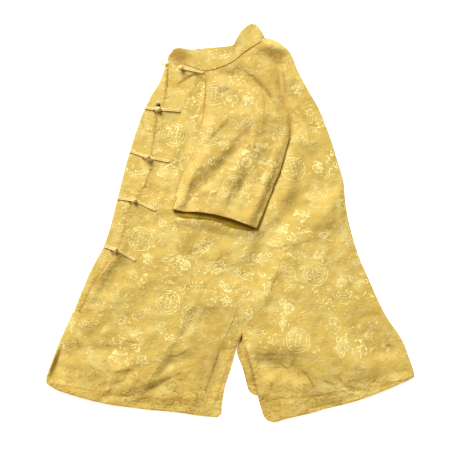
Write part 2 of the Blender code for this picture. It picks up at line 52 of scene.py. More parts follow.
# Cloth and the way its layers lie
WALL = 1.0
COLLAR_WALL = 1.5
SEAM_GAP = 0.03  # between two pieces that are sewn together
COLLAR_GAP = 0.5
EDGE_ROUND = 0.06  # how far the rounded edge of a shell stands out
CLEAR = 0.6
LAYER = WALL + CLEAR
FAR_MIDDLE = 0.6  # the middle of the lowest layer above the floor
BODY_RISE = 3.6  # near body above far body
FLAP_RISE = 2.0  # the underlap above the far front
BODY_LOFT = 2.6  # how much the near body puffs up away from its folds
LOFT_REACH = 55
HEM_LOFT = 0.6  # the share of it that is left at the hems
HEM_LOFT_REACH = 90
EDGE_LOFT = 1.4  # and how much more rises right beside the folds
EDGE_LOFT_REACH = 13
ROOM = 1.3  # the least height of one layer's middle above the middle of the one under it
FOLD_GRID = 5  # the places where the folds are held against what lies under them
FOLD_CELL = 12
HIDDEN_REACH = 16  # the body's folds end this far under the sleeve
SLEEVE_LOFT = 3.2  # how much the top of the near sleeve puffs up
CUFF_LIFT = 4.6  # and how much more it is lifted at the cuff
CUFF_REACH = 60
SLEEVE_LOFT_REACH = 34
SLEEVE_LEAD = 40  # the near sleeve leaves the body this far above the underarm
FAR_SLOPE = 18  # the far body slides off the far sleeve over this width
FAR_MARGIN = 6
HEM_DROP = 1.6  # the near hem sinks where no far layer lies under it
HEM_DROP_REACH = 70
SEAM_DIP = 0.7  # cloth is drawn down beside the seams of the collar and the sleeves
SEAM_DIP_REACH = 6
BODY_REACH = 60  # how far round a tight place the near body stands up
SLEEVE_REACH = 34  # and how far the sleeve does, which stays down at its seams
SEAM_CLEAR = 14
FOLD_EDGE = 6  # the body's folds fade this near its folded outline
SLEEVE_FOLD_EDGE = 24  # and the sleeve's this near its sides
RIPPLE_EDGE = 20
EDGE_LOFT_HEM = 60
FAR_HEM_SLOPE = 10  # over this width the near body comes down past the far hem
CAP_PUFF = 0.3  # the share of the sleeve's puff that its cap has
FOLD_SPREAD = 1.6  # a fold's slopes end at this many of its half widths
FOLD_TAPER = 0.6
RIPPLE_BEND = 1.3  # how much each ripple bends, and over how many of its lengths
RIPPLE_BEND_LENGTH = 2.7
CREASE_TAPER = 0.5
CREASE_REACH = 5  # a crease fades this far beside it, over the next figure
CREASE_FADE = 3

# Mesh sizes
EDGE_STEP = 3.0
NEAR_STEP = 2.8
FAR_STEP = 12
BEND_FACES = 8
BEND_BULGE = 2.5  # the most that a folded edge bulges
CURVE_POINTS = 12  # between two rows of a smooth curve
LINE_STEP = 0.8  # for the distance to a line
FOLD_STEP = 2.5
CREASE_STEP = 1.5
GRID_MARGIN = 0.6  # the grid keeps this many steps off an outline
SHARP_DEGREES = 55
SEAM_ACROSS = 0.5  # a seam that runs further across a fold than this bends round with it
SEAM_BULGE = 0.5

# Frogs
CORD_RADIUS = 1.2
CORD_SPREAD = 1.15  # from the middle of a frog to the middle of each of its two cords
KNOT_RADIUS = 4.2
LOOP_RADIUS = 3.3
CORD_STEP = 1.2
LOOP_MOUTH = 0.6  # half the angle that a loop leaves open round its knot
LOOP_LEAD = 3  # its straight part ends this far from its bend
LOOP_RISE = 9  # and starts to rise this far from it, over the next width
LOOP_RISE_REACH = 6
STRAND_RADIUS = 1.15
KNOT_CORE = 1.5  # how much smaller the ball inside the plait is
KNOT_SQUASH = 0.78
KNOT_POINTS = 220
KNOT_TILT = 1.18  # how far the strand climbs, as an angle
KNOT_WEAVE = 0.28  # how far it goes over and under itself, in its own radii

# Lines of the flat pattern as it lies. Each is a smooth curve through its rows of x and y.
LINES = {
    "opening": ((-111.5, 285), (-113, 262), (-115, 242), (-116, 224), (-121, 212), (-129, 203),
                (-135, 167), (-140, 131), (-138, 108), (-142, 96), (-151, 73), (-171, 40),
                (-183, 17), (-196, -38), (-209, -58), (-228, -83), (-241, -99), (-256, -130),
                (-269, -156)),
    "opening foot": ((-269, -156), (-278, -156)),
    "front fold": ((-114, 285), (-124, 255), (-144, 221), (-160, 185), (-172, 149), (-183, 113),
                   (-192, 78), (-202, 38), (-215, -12), (-228, -47), (-238, -65), (-254, -97),
                   (-278, -156)),
    "lower fold": ((-278, -156), (-301, -208), (-315, -244), (-325, -274), (-326, -286)),
    "front seam under": ((-270, -156), (-293, -208), (-307, -244), (-317, -274), (-318, -285)),
    "fold foot": ((-278, -156), (-270, -156)),
    "fold hem": ((-326, -286), (-318, -285)),
    "underlap": ((-82, 284), (-85, 224), (-105, 167), (-110, 131), (-121, 73), (-150, 17),
                 (-170, -40), (-205, -99), (-240, -152)),
    "underlap foot": ((-240, -152), (-278, -156)),
    "underlap neck": ((-82, 284), (-114, 285)),
    "neck gap": ((-111.5, 285), (-99, 286), (-85, 285)),
    "far neck gap": ((-114, 285), (-99, 286), (-85, 285)),
    "front neck": ((-85, 285), (-65, 277), (-46, 271)),
    "cap neck": ((-46, 271), (-24, 276), (4, 288), (29, 308), (54, 323)),
    "back neck": ((54, 323), (60.5, 329.3)),
    "collar back": ((54, 323), (58, 331)),
    "front raglan": ((-46, 271), (-45, 248), (-47, 213), (-51, 187), (-53, 171)),
    "front armhole": ((-53, 171), (-28, 149), (-1, 135), (28, 131)),
    "back raglan": ((54, 323), (67, 312), (79, 297), (83, 281), (87, 260), (90, 230), (96, 213),
                    (103, 201), (105, 181), (104, 154)),
    "back armhole": ((104, 154), (85, 142), (56, 133), (28, 131)),
    "side": ((28, 131), (37, 60), (42, -15), (35, -74), (29, -137), (21, -196)),
    "front slit": ((21, -196), (9, -228), (0, -259), (-10, -290), (-16, -324), (-17, -339),
                   (-24, -345)),
    "back slit": ((21, -196), (22, -213), (30, -240), (40, -271), (47, -303), (59, -343),
                  (66, -351)),
    "front hem": ((-24, -345), (-51, -343), (-94, -337), (-137, -333), (-179, -328),
                  (-222, -321), (-265, -310), (-308, -296), (-326, -286)),
    "back hem": ((66, -351), (79, -354), (99, -348), (142, -338), (185, -327), (228, -315),
                 (271, -299), (313, -281), (326, -274)),
    "back fold": ((60.5, 329.3), (74, 327), (92, 316), (104, 305), (110, 292), (117, 274),
                  (136, 238), (156, 203), (177, 149), (188, 113), (199, 76), (202, 42), (208, 6),
                  (217, -29), (229, -65), (245, -101), (261, -137), (279, -172), (303, -208),
                  (317, -244), (324, -263), (326, -274)),
    "sleeve front": ((-53, 171), (-56, 144), (-69, 110), (-81, 90), (-87, 71), (-94, 46),
                     (-102, 25)),
    "sleeve back": ((104, 154), (94, 124), (87, 97), (78, 76), (66, 44), (45, -8)),
    "cuff": ((45, -8), (8, 6), (-24, 15), (-54, 20), (-81, 21), (-102, 25)),
    "cuff under": ((45, -8), (38, -12), (22, -10), (3, -6), (-30, 6), (-63, 10), (-92, 13),
                   (-102, 25)),
    "far front slit": ((21, -196), (3, -230), (-11, -271), (-24, -310)),
    "far back slit": ((21, -196), (13, -219), (12, -233), (21, -257), (28, -284), (33, -299),
                      (42, -306)),
    "far front hem": ((-24, -310), (-90, -313), (-162, -310), (-233, -299), (-287, -290),
                      (-318, -285)),
    "far back hem": ((42, -306), (71, -310), (124, -310), (196, -299), (267, -288), (326, -274)),
    "collar fold": ((58, 331), (51, 345), (43, 354)),
    "collar top": ((43, 354), (37, 356), (26, 349), (17, 340), (10, 328), (4, 318), (-13, 315),
                   (-47, 312), (-67, 310)),
    "collar end": ((-67, 310), (-78, 300), (-83, 292), (-85, 285)),
    "far collar end": ((-67, 310), (-83, 313), (-99, 313), (-106, 306), (-112, 297), (-114, 285)),
}

# The outline of each layer, run with the cloth on its left. A minus runs a line backwards.
LAYERS = {
    "front left": ("opening", "opening foot", "lower fold", "-front hem", "-front slit",
                   "-side", "-front armhole", "-front raglan", "-front neck", "-neck gap"),
    "front left under": ("lower fold", "fold hem", "-front seam under", "-fold foot"),
    "front right": ("front fold", "fold foot", "front seam under", "-far front hem",
                    "-far front slit", "-side", "-front armhole", "-front raglan",
                    "-front neck", "-far neck gap"),
    "underlap": ("front fold", "-underlap foot", "-underlap", "underlap neck"),
    "back near": ("back raglan", "back armhole", "side", "back slit", "back hem", "-back fold",
                  "-back neck"),
    "back far": ("back raglan", "back armhole", "side", "far back slit", "far back hem",
                 "-back fold", "-back neck"),
    "sleeve top": ("front raglan", "sleeve front", "-cuff", "-sleeve back", "-back raglan",
                   "-cap neck"),
    "sleeve under": ("sleeve front", "-cuff under", "-sleeve back", "back armhole",
                     "-front armhole"),
    "collar near": ("front neck", "cap neck", "collar back", "collar fold", "collar top",
                    "collar end"),
    "collar far": ("far neck gap", "front neck", "cap neck", "collar back", "collar fold",
                   "collar top", "far collar end"),
}
NEAR_SEAMS = ("front raglan", "back raglan", "front neck", "cap neck", "back neck")
BODY_FOLDS = ("front fold", "lower fold", "back fold")
BODY_HEMS = ("front hem", "back hem", "front slit", "back slit")
HEMS = ("front hem", "back hem", "far front hem", "far back hem")
TURNED = (*HEMS, "cuff", "opening", "front slit", "back slit", "cuff under", "far front slit",
          "far back slit")

# Folds of each cloth: where one starts, bends and ends, half its width, its rise or sink, and how
# much wider it is on the left of its run than on the right. These are the result of a numeric fit
# to the photo's blurred shading, which started from rows placed one by one.
FOLD_COLUMNS = ("x0", "y0", "x1", "y1", "x2", "y2", "half", "rise", "lean")
FOLDS = {
    "body": (
        (46, 311, 92, 320, 103, 311, 15.9, 2.9, 0.3), (38, 318, 71, 319, 101, 302, 25.7, 2.5, 0.3),
        (40, 316, 51, 288, 141, 282, 9.4, -1.9, -0.4),
        (102, 329, 92, 271, 93, 205, 27.3, -2.1, 0.7),
        (102, 290, 106, 262, 113, 217, 11.3, 1.4, 0.3),
        (-97, 243, -56, 261, -58, 199, 11.1, -4.5, -0.7),
        (74, 244, 126, 212, 142, 168, 10.4, -1.9, 0.6),
        (81, 247, 130, 202, 150, 145, 12.8, -2.0, 0.5),
        (-134, 204, -129, 196, -138, 141, 6, -1.3, 0.4), (108, 207, 108, 147, 71, 99, 9.3, -3.1, 0),
        (171, 142, 183, 122, 197, 84, 12.8, 1.0, -0.1),
        (156, 149, 170, 116, 182, 98, 26.2, -1.7, -0.6),
        (-43, 188, -74, 115, -98, 10, 22, -8.5, 0.1), (123, 144, 113, 84, 98, 2, 16.2, 2.8, -0.1),
        (-157, 101, -135, 78, -151, 40, 27.1, -3.3, -0.4),
        (198, 92, 203, 68, 153, 21, 13.8, 2.3, 0.3), (94, 127, 75, 66, 33, 13, 22.6, -4.0, -0.3),
        (228, 63, 122, 49, 102, -24, 10.2, -1.4, -0.2), (125, 153, 91, 49, 50, -37, 12.7, 4.4, 0),
        (179, 51, 182, 13, 198, -3, 27.6, 2.5, -0.7),
        (215, 46, 126, -15, 109, -55, 27.9, 6.8, -0.1),
        (55, -36, 54, -41, 37, -97, 24.7, -4.2, 0.4), (-116, -73, -48, -46, -14, -39, 8.4, -1.3, 0),
        (214, -19, 197, -49, 246, -70, 17.7, 1.9, 0.4),
        (121, -20, 66, -53, 175, -51, 14.8, 2.6, 0.1),
        (-168, 28, -215, -76, -247, -99, 27, 3.9, -0.4),
        (125, -121, 153, -77, 183, -59, 24.1, 3.4, 0.5),
        (-196, -50, -212, -86, -226, -124, 9.8, 1.4, -0.2),
        (-105, -60, -158, -89, -185, -149, 25.5, 3.3, 0.3),
        (-67, -93, 11, -93, 36, -111, 17.1, -3.6, 0.1),
        (-189, -34, -229, -96, -259, -162, 27.6, 3.7, -0.7),
        (82, -69, 70, -96, 44, -178, 16.5, 4.0, -0.3),
        (-42, -39, -66, -98, -51, -217, 15.1, -3.1, -0.2),
        (-170, -83, -164, -121, -225, -130, 17.8, 2.6, -0.2),
        (-137, -109, -90, -122, -103, -131, 25.7, -2.4, -0.4),
        (-105, -150, -39, -137, 36, -149, 26.3, 3.0, 0.4),
        (-44, -89, -70, -144, -124, -243, 25.8, 3.2, -0.6),
        (-172, -104, -221, -148, -195, -185, 8.8, 1.5, 0.4),
        (1, -145, 17, -170, 22, -190, 26.7, 3.3, -0.3),
        (-84, -183, -39, -173, -28, -162, 16.3, -3.5, -0.2),
        (234, -125, 254, -176, 262, -183, 25.4, 2.1, 0.3),
        (176, -184, 259, -182, 278, -198, 13.5, 2.4, -0.2),
        (-198, -156, -228, -184, -279, -218, 9.4, -1.5, 0.1),
        (158, -202, 215, -189, 286, -244, 25.6, -3.5, 0.4),
        (-137, -177, -193, -199, -189, -228, 10.8, -1.8, 0),
        (22, -220, 90, -209, 194, -249, 27.1, 2.8, 0.5),
        (20, -212, 3, -212, -1, -212, 16.2, -1.0, 0.7),
        (-292, -210, -278, -214, -250, -240, 25.9, -4.5, 0.3),
        (100, -182, 122, -217, 138, -185, 27.5, 3.3, 0.1),
        (-14, -224, 5, -221, 10, -202, 22.4, -2.1, -0.7),
        (298, -200, 279, -226, 234, -225, 16.5, -2.6, 0.1),
        (227, -208, 288, -227, 323, -236, 26, -4.6, 0),
        (-369, -278, -265, -229, -165, -236, 19.2, -4.9, -0.3),
        (140, -245, 203, -233, 231, -238, 27.6, 2.9, -0.4),
        (-120, -193, -114, -234, -166, -302, 28, 2.3, -0.7),
        (20, -182, -14, -243, -47, -320, 13.3, -1.8, 0),
        (-139, -277, -95, -246, -60, -220, 14.8, -3.7, -0.2),
        (34, -249, 91, -247, 123, -250, 20.8, -2.0, -0.4),
        (-294, -213, -312, -249, -261, -267, 18, -5.1, -0.3),
        (-121, -248, -127, -255, -164, -249, 12.7, -2.3, 0.1),
        (-148, -279, -198, -255, -224, -284, 19.9, 2.1, -0.5),
        (-151, -239, -182, -256, -240, -293, 11.1, 2.0, -0.4),
        (36, -243, 125, -258, 132, -236, 17, -2.5, -0.5),
        (-58, -248, -111, -263, -116, -273, 5.4, 1.2, -0.4),
        (39, -279, 94, -267, 42, -340, 17, -4.1, 0.3),
        (134, -277, 217, -270, 245, -265, 23.5, 3.7, 0.1),
        (-42, -260, -20, -275, -17, -271, 10.4, -1.1, -0.2),
        (-176, -249, -188, -277, -210, -286, 6.8, -1.8, 0.6),
        (-56, -267, -109, -277, -157, -309, 11.3, -3.0, 0.4),
        (-141, -302, -163, -277, -188, -309, 10.4, 1.6, -0.7),
        (-96, -271, -136, -281, -173, -292, 5.8, 1.4, -0.4),
        (-30, -261, -22, -284, -5, -269, 8.4, -1.2, -0.5),
        (91, -261, 152, -284, 148, -336, 10.4, -1.8, -0.3),
        (51, -248, 135, -284, 123, -322, 13.3, -2.3, 0.2),
        (203, -328, 229, -288, 288, -277, 14.2, -1.9, 0.2),
        (158, -278, 182, -289, 226, -296, 6.2, -1.0, -0.4),
        (175, -263, 206, -292, 245, -300, 5.1, -2.0, 0.1),
        (-39, -307, -27, -299, -21, -296, 21.7, -2.6, 0.7),
        (-196, -276, -213, -299, -218, -312, 12.8, -1.8, -0.5),
        (-153, -293, -158, -303, -229, -308, 9.3, -2.6, -0.4),
        (-184, -243, -232, -304, -340, -278, 21, 4.1, 0.6),
        (-25, -281, -36, -307, -41, -336, 6.5, -1.2, -0.2),
        (82, -316, 96, -322, 149, -312, 11.1, 2.4, -0.5),
        (131, -327, 154, -322, 199, -312, 6.7, 2.2, 0.4),
        (-222, -280, -171, -324, -119, -261, 16.1, -2.5, -0.5),
        (-109, -306, -109, -327, -119, -315, 26.6, -2.4, 0.7),
        (128, -306, 184, -329, 202, -320, 26.7, -5.2, -0.5),
        (134, -321, 156, -330, 214, -322, 21.9, -4.8, 0.7),
    ),
    "sleeve": (
        (13, 308, 64, 311, 85, 306, 9.5, 3.1, 0.2), (87, 296, 86, 272, 90, 233, 13.7, 1.2, 0.5),
        (-13, 240, 51, 271, 66, 238, 26.4, -2.0, 0.3), (-38, 256, 1, 269, 19, 238, 15.2, -2.5, 0.5),
        (-54, 247, -44, 256, 3, 270, 5.8, -1.3, 0.3), (-7, 325, 62, 252, 105, 201, 8.3, 3.0, -0.1),
        (19, 276, 60, 250, 75, 214, 7.6, 1.1, 0.6), (-3, 286, 48, 248, 92, 195, 6.4, -2.3, -0.3),
        (-31, 232, -6, 243, 34, 211, 10.7, 3.4, 0.3), (-28, 272, 44, 238, 110, 183, 9.2, -3.8, 0.1),
        (47, 261, 61, 236, 95, 190, 7.2, -0.9, -0.2), (-78, 188, 8, 198, 99, 175, 26.7, 3.2, 0.4),
        (55, 234, 51, 196, 40, 136, 13.5, 2.7, 0.5), (22, 218, 33, 194, 98, 195, 21.5, 4.3, 0),
        (-62, 125, -9, 182, 16, 193, 8, 2.1, 0.6), (73, 194, 87, 178, 115, 172, 13.3, 2.6, -0.1),
        (-35, 295, -44, 175, -22, 184, 12.6, 6.1, -0.2),
        (19, 155, 90, 174, 65, 210, 13.7, 3.4, -0.2), (26, 261, 34, 153, 49, 135, 24.9, 6.0, 0.1),
        (-15, 144, 20, 141, 34, 121, 21, -2.6, -0.7), (46, 187, -4, 120, -111, 25, 11.2, -3.9, 0.2),
        (-77, 148, -1, 110, 68, 126, 13.1, 1.6, 0.5), (25, 127, 6, 107, 0, 71, 6.5, 1.2, -0.6),
        (-103, 28, -77, 95, -18, 133, 27.1, 4.2, 0.5), (37, 164, -8, 94, -73, 55, 13.7, -2.1, -0.4),
        (46, 166, -31, 78, -107, 13, 27.8, -4.2, 0.6), (91, 93, 71, 66, 32, -50, 27.3, 6.9, 0.3),
        (39, 138, 20, 57, -4, 12, 26, -7.9, 0.5), (92, 178, 17, 51, -24, 17, 27.6, -8.5, 0.2),
        (-61, 51, -65, 36, -85, 22, 19.7, -3.7, -0.4),
        (-54, 76, -74, 36, -103, 24, 20.7, -3.6, 0.1), (-38, 27, 4, 19, 83, 8, 21, 3.9, -0.5),
    ),
    "flap": (
        (-160, 185, -151, 167, -133, 163, 2, -0.7, 0),
        (-140, 156, -151, 146, -158, 135, 2, -0.6, 0),
    ),
    "collar": (
        (4, 322, 10, 312, 8, 296, 5, -1.5, 0), (-67, 310, -62, 301, -58, 292, 2, -0.6, 0),
    ),
}
# Thin lines of painted shade where a cloth is creased sharply or an edge lies on it: half their
# width, and how dark they are
CREASE_COLUMNS = ("x0", "y0", "x1", "y1", "x2", "y2", "half", "dark")
CREASE_SHADES = {
    "front": (
        (-112.4, 287, -112.6, 246, -120, 212, 1.3, 0.82),
        (-129, 200, -134, 165, -139, 131, 1.2, 0.38), (-141, 96, -151, 73, -171, 40, 1.2, 0.38),
        (-183, 17, -190, -10, -196, -38, 1.2, 0.38), (-67, -77, -73, -113, -85, -140, 1.2, 0.32),
        (-80, -184, -92, -203, -103, -220, 1.4, 0.38), (-113, -236, -95, -235, -72, -222, 1.8, 0.6),
        (-115, -239, -138, -271, -150, -291, 1.6, 0.43),
        (-158, -298, -132, -289, -103, -273, 2.4, 0.65),
        (-208, -266, -190, -261, -174, -261, 2.2, 0.71),
        (-205, -307, -180, -306, -157, -298, 1.6, 0.6),
        (-105, -273, -88, -279, -71, -263, 1.2, 0.43),
        (-206, -268, -214, -285, -212, -303, 1.3, 0.38),
        (-220, -273, -243, -298, -258, -310, 1.3, 0.38),
        (-256, -252, -243, -259, -239, -274, 1.3, 0.43),
        (-272, -203, -273, -213, -268, -223, 1.4, 0.54),
        (-225, -218, -218, -217, -211, -220, 1.8, 0.54),
        (-184, -209, -170, -212, -155, -211, 1.6, 0.54),
        (-116, -321, -104, -322, -98, -309, 1.4, 0.49), (-25, -68, -18, -60, -13, -50, 1.3, 0.32),
        (14, -142, 2, -178, -16, -217, 1.3, 0.49), (-18, -221, -29, -254, -41, -288, 1.9, 0.65),
        (-41, -286, -44, -296, -42, -305, 1.6, 0.54), (-15, -223, -2, -223, 11, -217, 1.3, 0.65),
        (19, -196, 15, -208, 9, -224, 1.6, 0.76), (-205, -62, -222, -86, -240, -108, 1.6, 0.43),
        (-246, -96, -257, -126, -268, -156, 1.8, 0.78),
    ),
    "back": (
        (91, -59, 80, -98, 62, -142, 1.3, 0.43), (62, -142, 49, -158, 32, -172, 1.2, 0.32),
        (25, -213, 36, -252, 47, -300, 1.4, 0.65), (40, -229, 66, -233, 90, -229, 3.5, 0.43),
        (88, -228, 92, -235, 89, -246, 1.6, 0.54), (88, -249, 103, -257, 115, -238, 1.6, 0.54),
        (106, -229, 117, -235, 130, -235, 1.4, 0.49), (118, -255, 138, -272, 154, -303, 2.1, 0.54),
        (82, -299, 110, -300, 138, -297, 2.2, 0.28), (146, -306, 153, -315, 156, -327, 1.6, 0.49),
        (70, -282, 74, -287, 72, -293, 1.6, 0.54), (163, -277, 171, -281, 179, -283, 1.8, 0.65),
        (191, -272, 196, -277, 199, -284, 1.6, 0.54), (204, -285, 224, -279, 241, -289, 1.3, 0.49),
        (204, -291, 217, -298, 232, -297, 1.4, 0.49), (275, -222, 280, -217, 287, -219, 2.1, 0.65),
        (224, -265, 230, -260, 238, -259, 1.6, 0.54), (88, 296, 93, 270, 100, 228, 2.2, 0.32),
    ),
    "sleeve": (
        (-44, 262, -46, 215, -52, 172, 1.3, 0.84), (56, 243, 60, 214, 58, 187, 1.4, 0.43),
        (30, 270, 58, 240, 98, 182, 1.9, 0.32), (-46, 77, -66, 52, -86, 25, 1.3, 0.32),
        (7, 78, 0, 50, -10, 22, 1.6, 0.38), (20, 276, 55, 249, 80, 214, 2.6, 0.36),
    ),
    "far": (
        (-158, 184, -153, 168, -136, 163, 1.2, 0.65),
    ),
}
RIPPLES = (  # length, direction in degrees, start, height
    (61, 20, 0.3, 0.55), (47, 75, 1.9, 0.50), (83, 130, 4.0, 0.60), (36, 160, 2.2, 0.34),
    (29, 48, 5.1, 0.26), (101, -15, 0.9, 0.60), (22, 105, 0.7, 0.16), (25, 12, 3.3, 0.18),
)

# Woven figures: the room that each kind takes, as a radius
REACH = {"medallion": 23, "shield": 21, "fruit": 20, "cloud": 19, "ribbon": 17, "leaf": 16,
         "sprig": 13, "blossom": 12, "cluster": 9.5, "hook": 8.5, "dash": 5}
BOLD = 0.76  # the figures from the ribbon on are drawn larger: their places shrink by this
KINDS = list(REACH)
FIGURE_GAP = -1.2  # two figures may reach this little into each other's room
MEAN_STRENGTH = 0.62
STRENGTH_SWING = 0.38
PLACED_STRENGTH = 1.15
PAST_CUFF = 0.4  # the inside of the sleeve shows where it reaches this far past the top one
INSIDE_REACH = 22
MOST_AWAY = 200.0  # distances to edges are kept up to this
# How often each kind is tried at random, and how far it may turn from upright
TRIES = {"cloud": 90, "shield": 25, "fruit": 12, "ribbon": 200, "leaf": 200, "sprig": 260,
         "blossom": 200, "cluster": 700, "hook": 2500, "dash": 4000}
TURNS = {"cloud": 0.35, "dash": 0.6}
# Those with a place of their own. The rest of each piece of cloth is filled in at random.
FIGURE_COLUMNS = ("kind", "x", "y", "turn")
FIGURES = {
    "front": (
        ("medallion", -160, -28, -10), ("medallion", -100, 158, 80), ("medallion", -111, -140, -12),
        ("medallion", -68, -166, -62), ("fruit", -85, -69, -5), ("shield", -52, -42, 45),
        ("shield", -30, -78, 20), ("cluster", -172, -92, 40), ("cluster", -158, -107, 0),
        ("ribbon", -131, -27, 80), ("leaf", -111, -62, 10), ("leaf", -10, -112, -40),
        ("cloud", -112, -6, -15), ("cloud", -99, -205, 5), ("cloud", -42, -209, -5),
        ("ribbon", -100, 100, 10), ("blossom", -6, -139, 0), ("cloud", -158, -160, 40),
    ),
    "back": (
        ("medallion", 112, 96, 15), ("medallion", 151, -90, 14), ("medallion", 120, -208, -10),
        ("medallion", 228, -285, -10), ("fruit", 99, -146, 0), ("shield", 198, -221, 100),
        ("blossom", 93, -8, 0), ("leaf", 158, -54, 35), ("leaf", 94, -178, 80),
        ("blossom", 197, -104, 0), ("ribbon", 230, -222, -60), ("blossom", 155, 101, 20),
        ("blossom", 120, 240, 0), ("ribbon", 155, 174, 120), ("blossom", 63, 50, 10),
        ("cloud", 200, -128, 20), ("cloud", 118, -22, 35), ("cloud", 205, 34, 15),
        ("leaf", 66, -116, 70), ("cloud", 58, -62, 30), ("leaf", 166, -20, 20),
    ),
    "sleeve": (
        ("medallion", -30, 231, -5), ("medallion", -38, 158, -10), ("medallion", 7, 64, -5),
        ("fruit", 28, 115, -38), ("blossom", -12, 140, 0), ("ribbon", 14, 262, 40),
        ("blossom", 31, 216, 15), ("ribbon", 0, 222, -50), ("leaf", 52, 136, 20),
        ("leaf", 55, 112, -25), ("cloud", -22, 112, 30), ("ribbon", 60, 76, 15),
        ("ribbon", -30, 45, 60), ("cloud", 24, 176, 30),
    ),
}

# Frogs: the knot, the end of the tail on the left front, the end of the tail on the right front
FROG_COLUMNS = ("knot_x", "knot_y", "tail_x", "tail_y", "loop_x", "loop_y")
FROGS = (
    (-88, 276.5, -47, 268, -115, 283),
    (-128, 203, -89, 200, -153, 206),
    (-148, 118, -108, 110, -180, 129),
    (-171, 41, -132, 23, -203, 45),
    (-204, -46, -168, -66, -226, -41),
)
STUD = (-128.8, 211)  # the press stud beside the second knot
OPEN_LOOP_TIP = (-126, 290)  # the first frog is undone, and its loop sticks out of the outline
OPEN_LOOP = ((-2, -1.2), (2, -1.4), (6, -2.3), (9.5, -1.9), (11.6, 0), (9.5, 1.9), (6, 2.3),
             (2, 1.4), (-2, 1.2))  # along it and across it

# Camera and light
PICTURE_CENTRE = (-0.9, -12.7)  # in the frame, under the middle of the picture
PICTURE_WIDTH = 821.6
LENS = 85
SENSOR = 36
LIGHTS = (  # name, place in metres, size, power, colour
    ("key", (-2.5, 5.1, 4.45), 4.0, 1010, (1, 1, 1)),
    ("fill", (3.0, -3.6, 4.2), 3.0, 75, (1, 0.88, 0.6)),
)
WORLD_COLOUR = (1, 0.83, 0.52, 1)
WORLD_STRENGTH = 0.13
FLOOR_HALF = 20.0  # metres
FLOOR_LEVEL = -0.0002
FLOOR_GREY = 0.93
FLOOR_GLOW = 0.7


def smooth(t):
    """0 below 0, 1 above 1, and an even rise between them."""
    t = np.clip(t, 0, 1)
    return t * t * (3 - 2 * t)


def spaced(points, step):
    """Points about step apart along a polyline, its two ends kept."""
    along = np.concatenate([[0], np.cumsum(np.linalg.norm(np.diff(points, axis=0), axis=1))])
    count = max(1, round(along[-1] / step))
    at = np.linspace(0, along[-1], count + 1)
    return np.stack([np.interp(at, along, points[:, k]) for k in range(points.shape[1])], axis=1)


def curve_through(rows):
    """A close polyline on the smooth curve that passes through the rows."""
    p = np.array(rows, float)
    if len(p) == 2:
        return p
    p = np.vstack([2 * p[0] - p[1], p, 2 * p[-1] - p[-2]])
    t = np.linspace(0, 1, CURVE_POINTS, endpoint=False)[:, None]
    parts = []
    for a, b, c, d in zip(p, p[1:], p[2:], p[3:]):
        reach = np.linalg.norm(c - b)
        start = (c - a) / max(np.linalg.norm(c - a), 1e-9) * reach
        end = (d - b) / max(np.linalg.norm(d - b), 1e-9) * reach
        parts.append((2 * t**3 - 3 * t**2 + 1) * b + (t**3 - 2 * t**2 + t) * start
                     + (3 * t**2 - 2 * t**3) * c + (t**3 - t**2) * end)
    return np.vstack([*parts, p[-2:-1]])


def line(name):
    """The points of a pattern line, in the direction that its name asks for."""
    points = spaced(curve_through(LINES[name.removeprefix("-")]), EDGE_STEP)
    return points[::-1] if name.startswith("-") else points


def outline(layer):
    """(points of a layer's closed outline, {line: its points' indices})."""
    points, lines = [], {}
    for name in LAYERS[layer]:
        part = line(name)
        start = len(points)
        points.extend(part[:-1])
        lines[name.removeprefix("-")] = list(range(start, start + len(part)))
    count = len(points)
    lines = {name: [i % count for i in found] for name, found in lines.items()}
    return np.array(points), lines


def unit(rows):
    """Rows of x, y and maybe z as directions of length 1."""
    return rows / np.linalg.norm(rows, axis=1, keepdims=True)


def outward(points):
    """The outward direction at each point of a closed outline."""
    along = unit(np.roll(points, -1, 0) - points) + unit(points - np.roll(points, 1, 0))
    along /= np.maximum(np.linalg.norm(along, axis=1, keepdims=True), 1e-6)
    return np.stack([along[:, 1], -along[:, 0]], axis=1)


def nearest_of(points, path):
    """(the distance, the index) of the nearest point of a path to each point."""
    tree = KDTree(len(path))
    for k, (x, y) in enumerate(path):
        tree.insert((x, y, 0), k)
    tree.balance()
    found = [tree.find((x, y, 0)) for x, y in points]
    return np.array([f[2] for f in found]), np.array([f[1] for f in found])


def inside_distance(points, edge):
    """How far each point is inside a closed outline, less than 0 outside it."""
    a, b = edge, np.roll(edge, -1, 0)
    rise = np.where(np.abs((b - a)[:, 1]) < 1e-12, 1e-12, (b - a)[:, 1])
    slope = (b - a)[:, 0] / rise
    inside = np.zeros(len(points), bool)
    for (ax, ay), by, lean in zip(a, b[:, 1], slope):
        low, high = min(ay, by), max(ay, by)
        level = (points[:, 1] >= low) & (points[:, 1] < high)
        inside[level] ^= points[level, 0] < ax + (points[level, 1] - ay) * lean
    away = nearest_of(points, spaced(np.vstack([edge, edge[:1]]), LINE_STEP))[0]
    return np.where(inside, away, -away)


def distance_to(points, names):
    """How far each point is from the nearest of some pattern lines."""
    return nearest_of(points, np.vstack([spaced(line(n), LINE_STEP) for n in names]))[0]


def bent_path(row, step):
    """A close polyline through the start, the bend and the end of a fold or a crease."""
    return spaced(curve_through([(row[f"x{k}"], row[f"y{k}"]) for k in range(3)]), step)


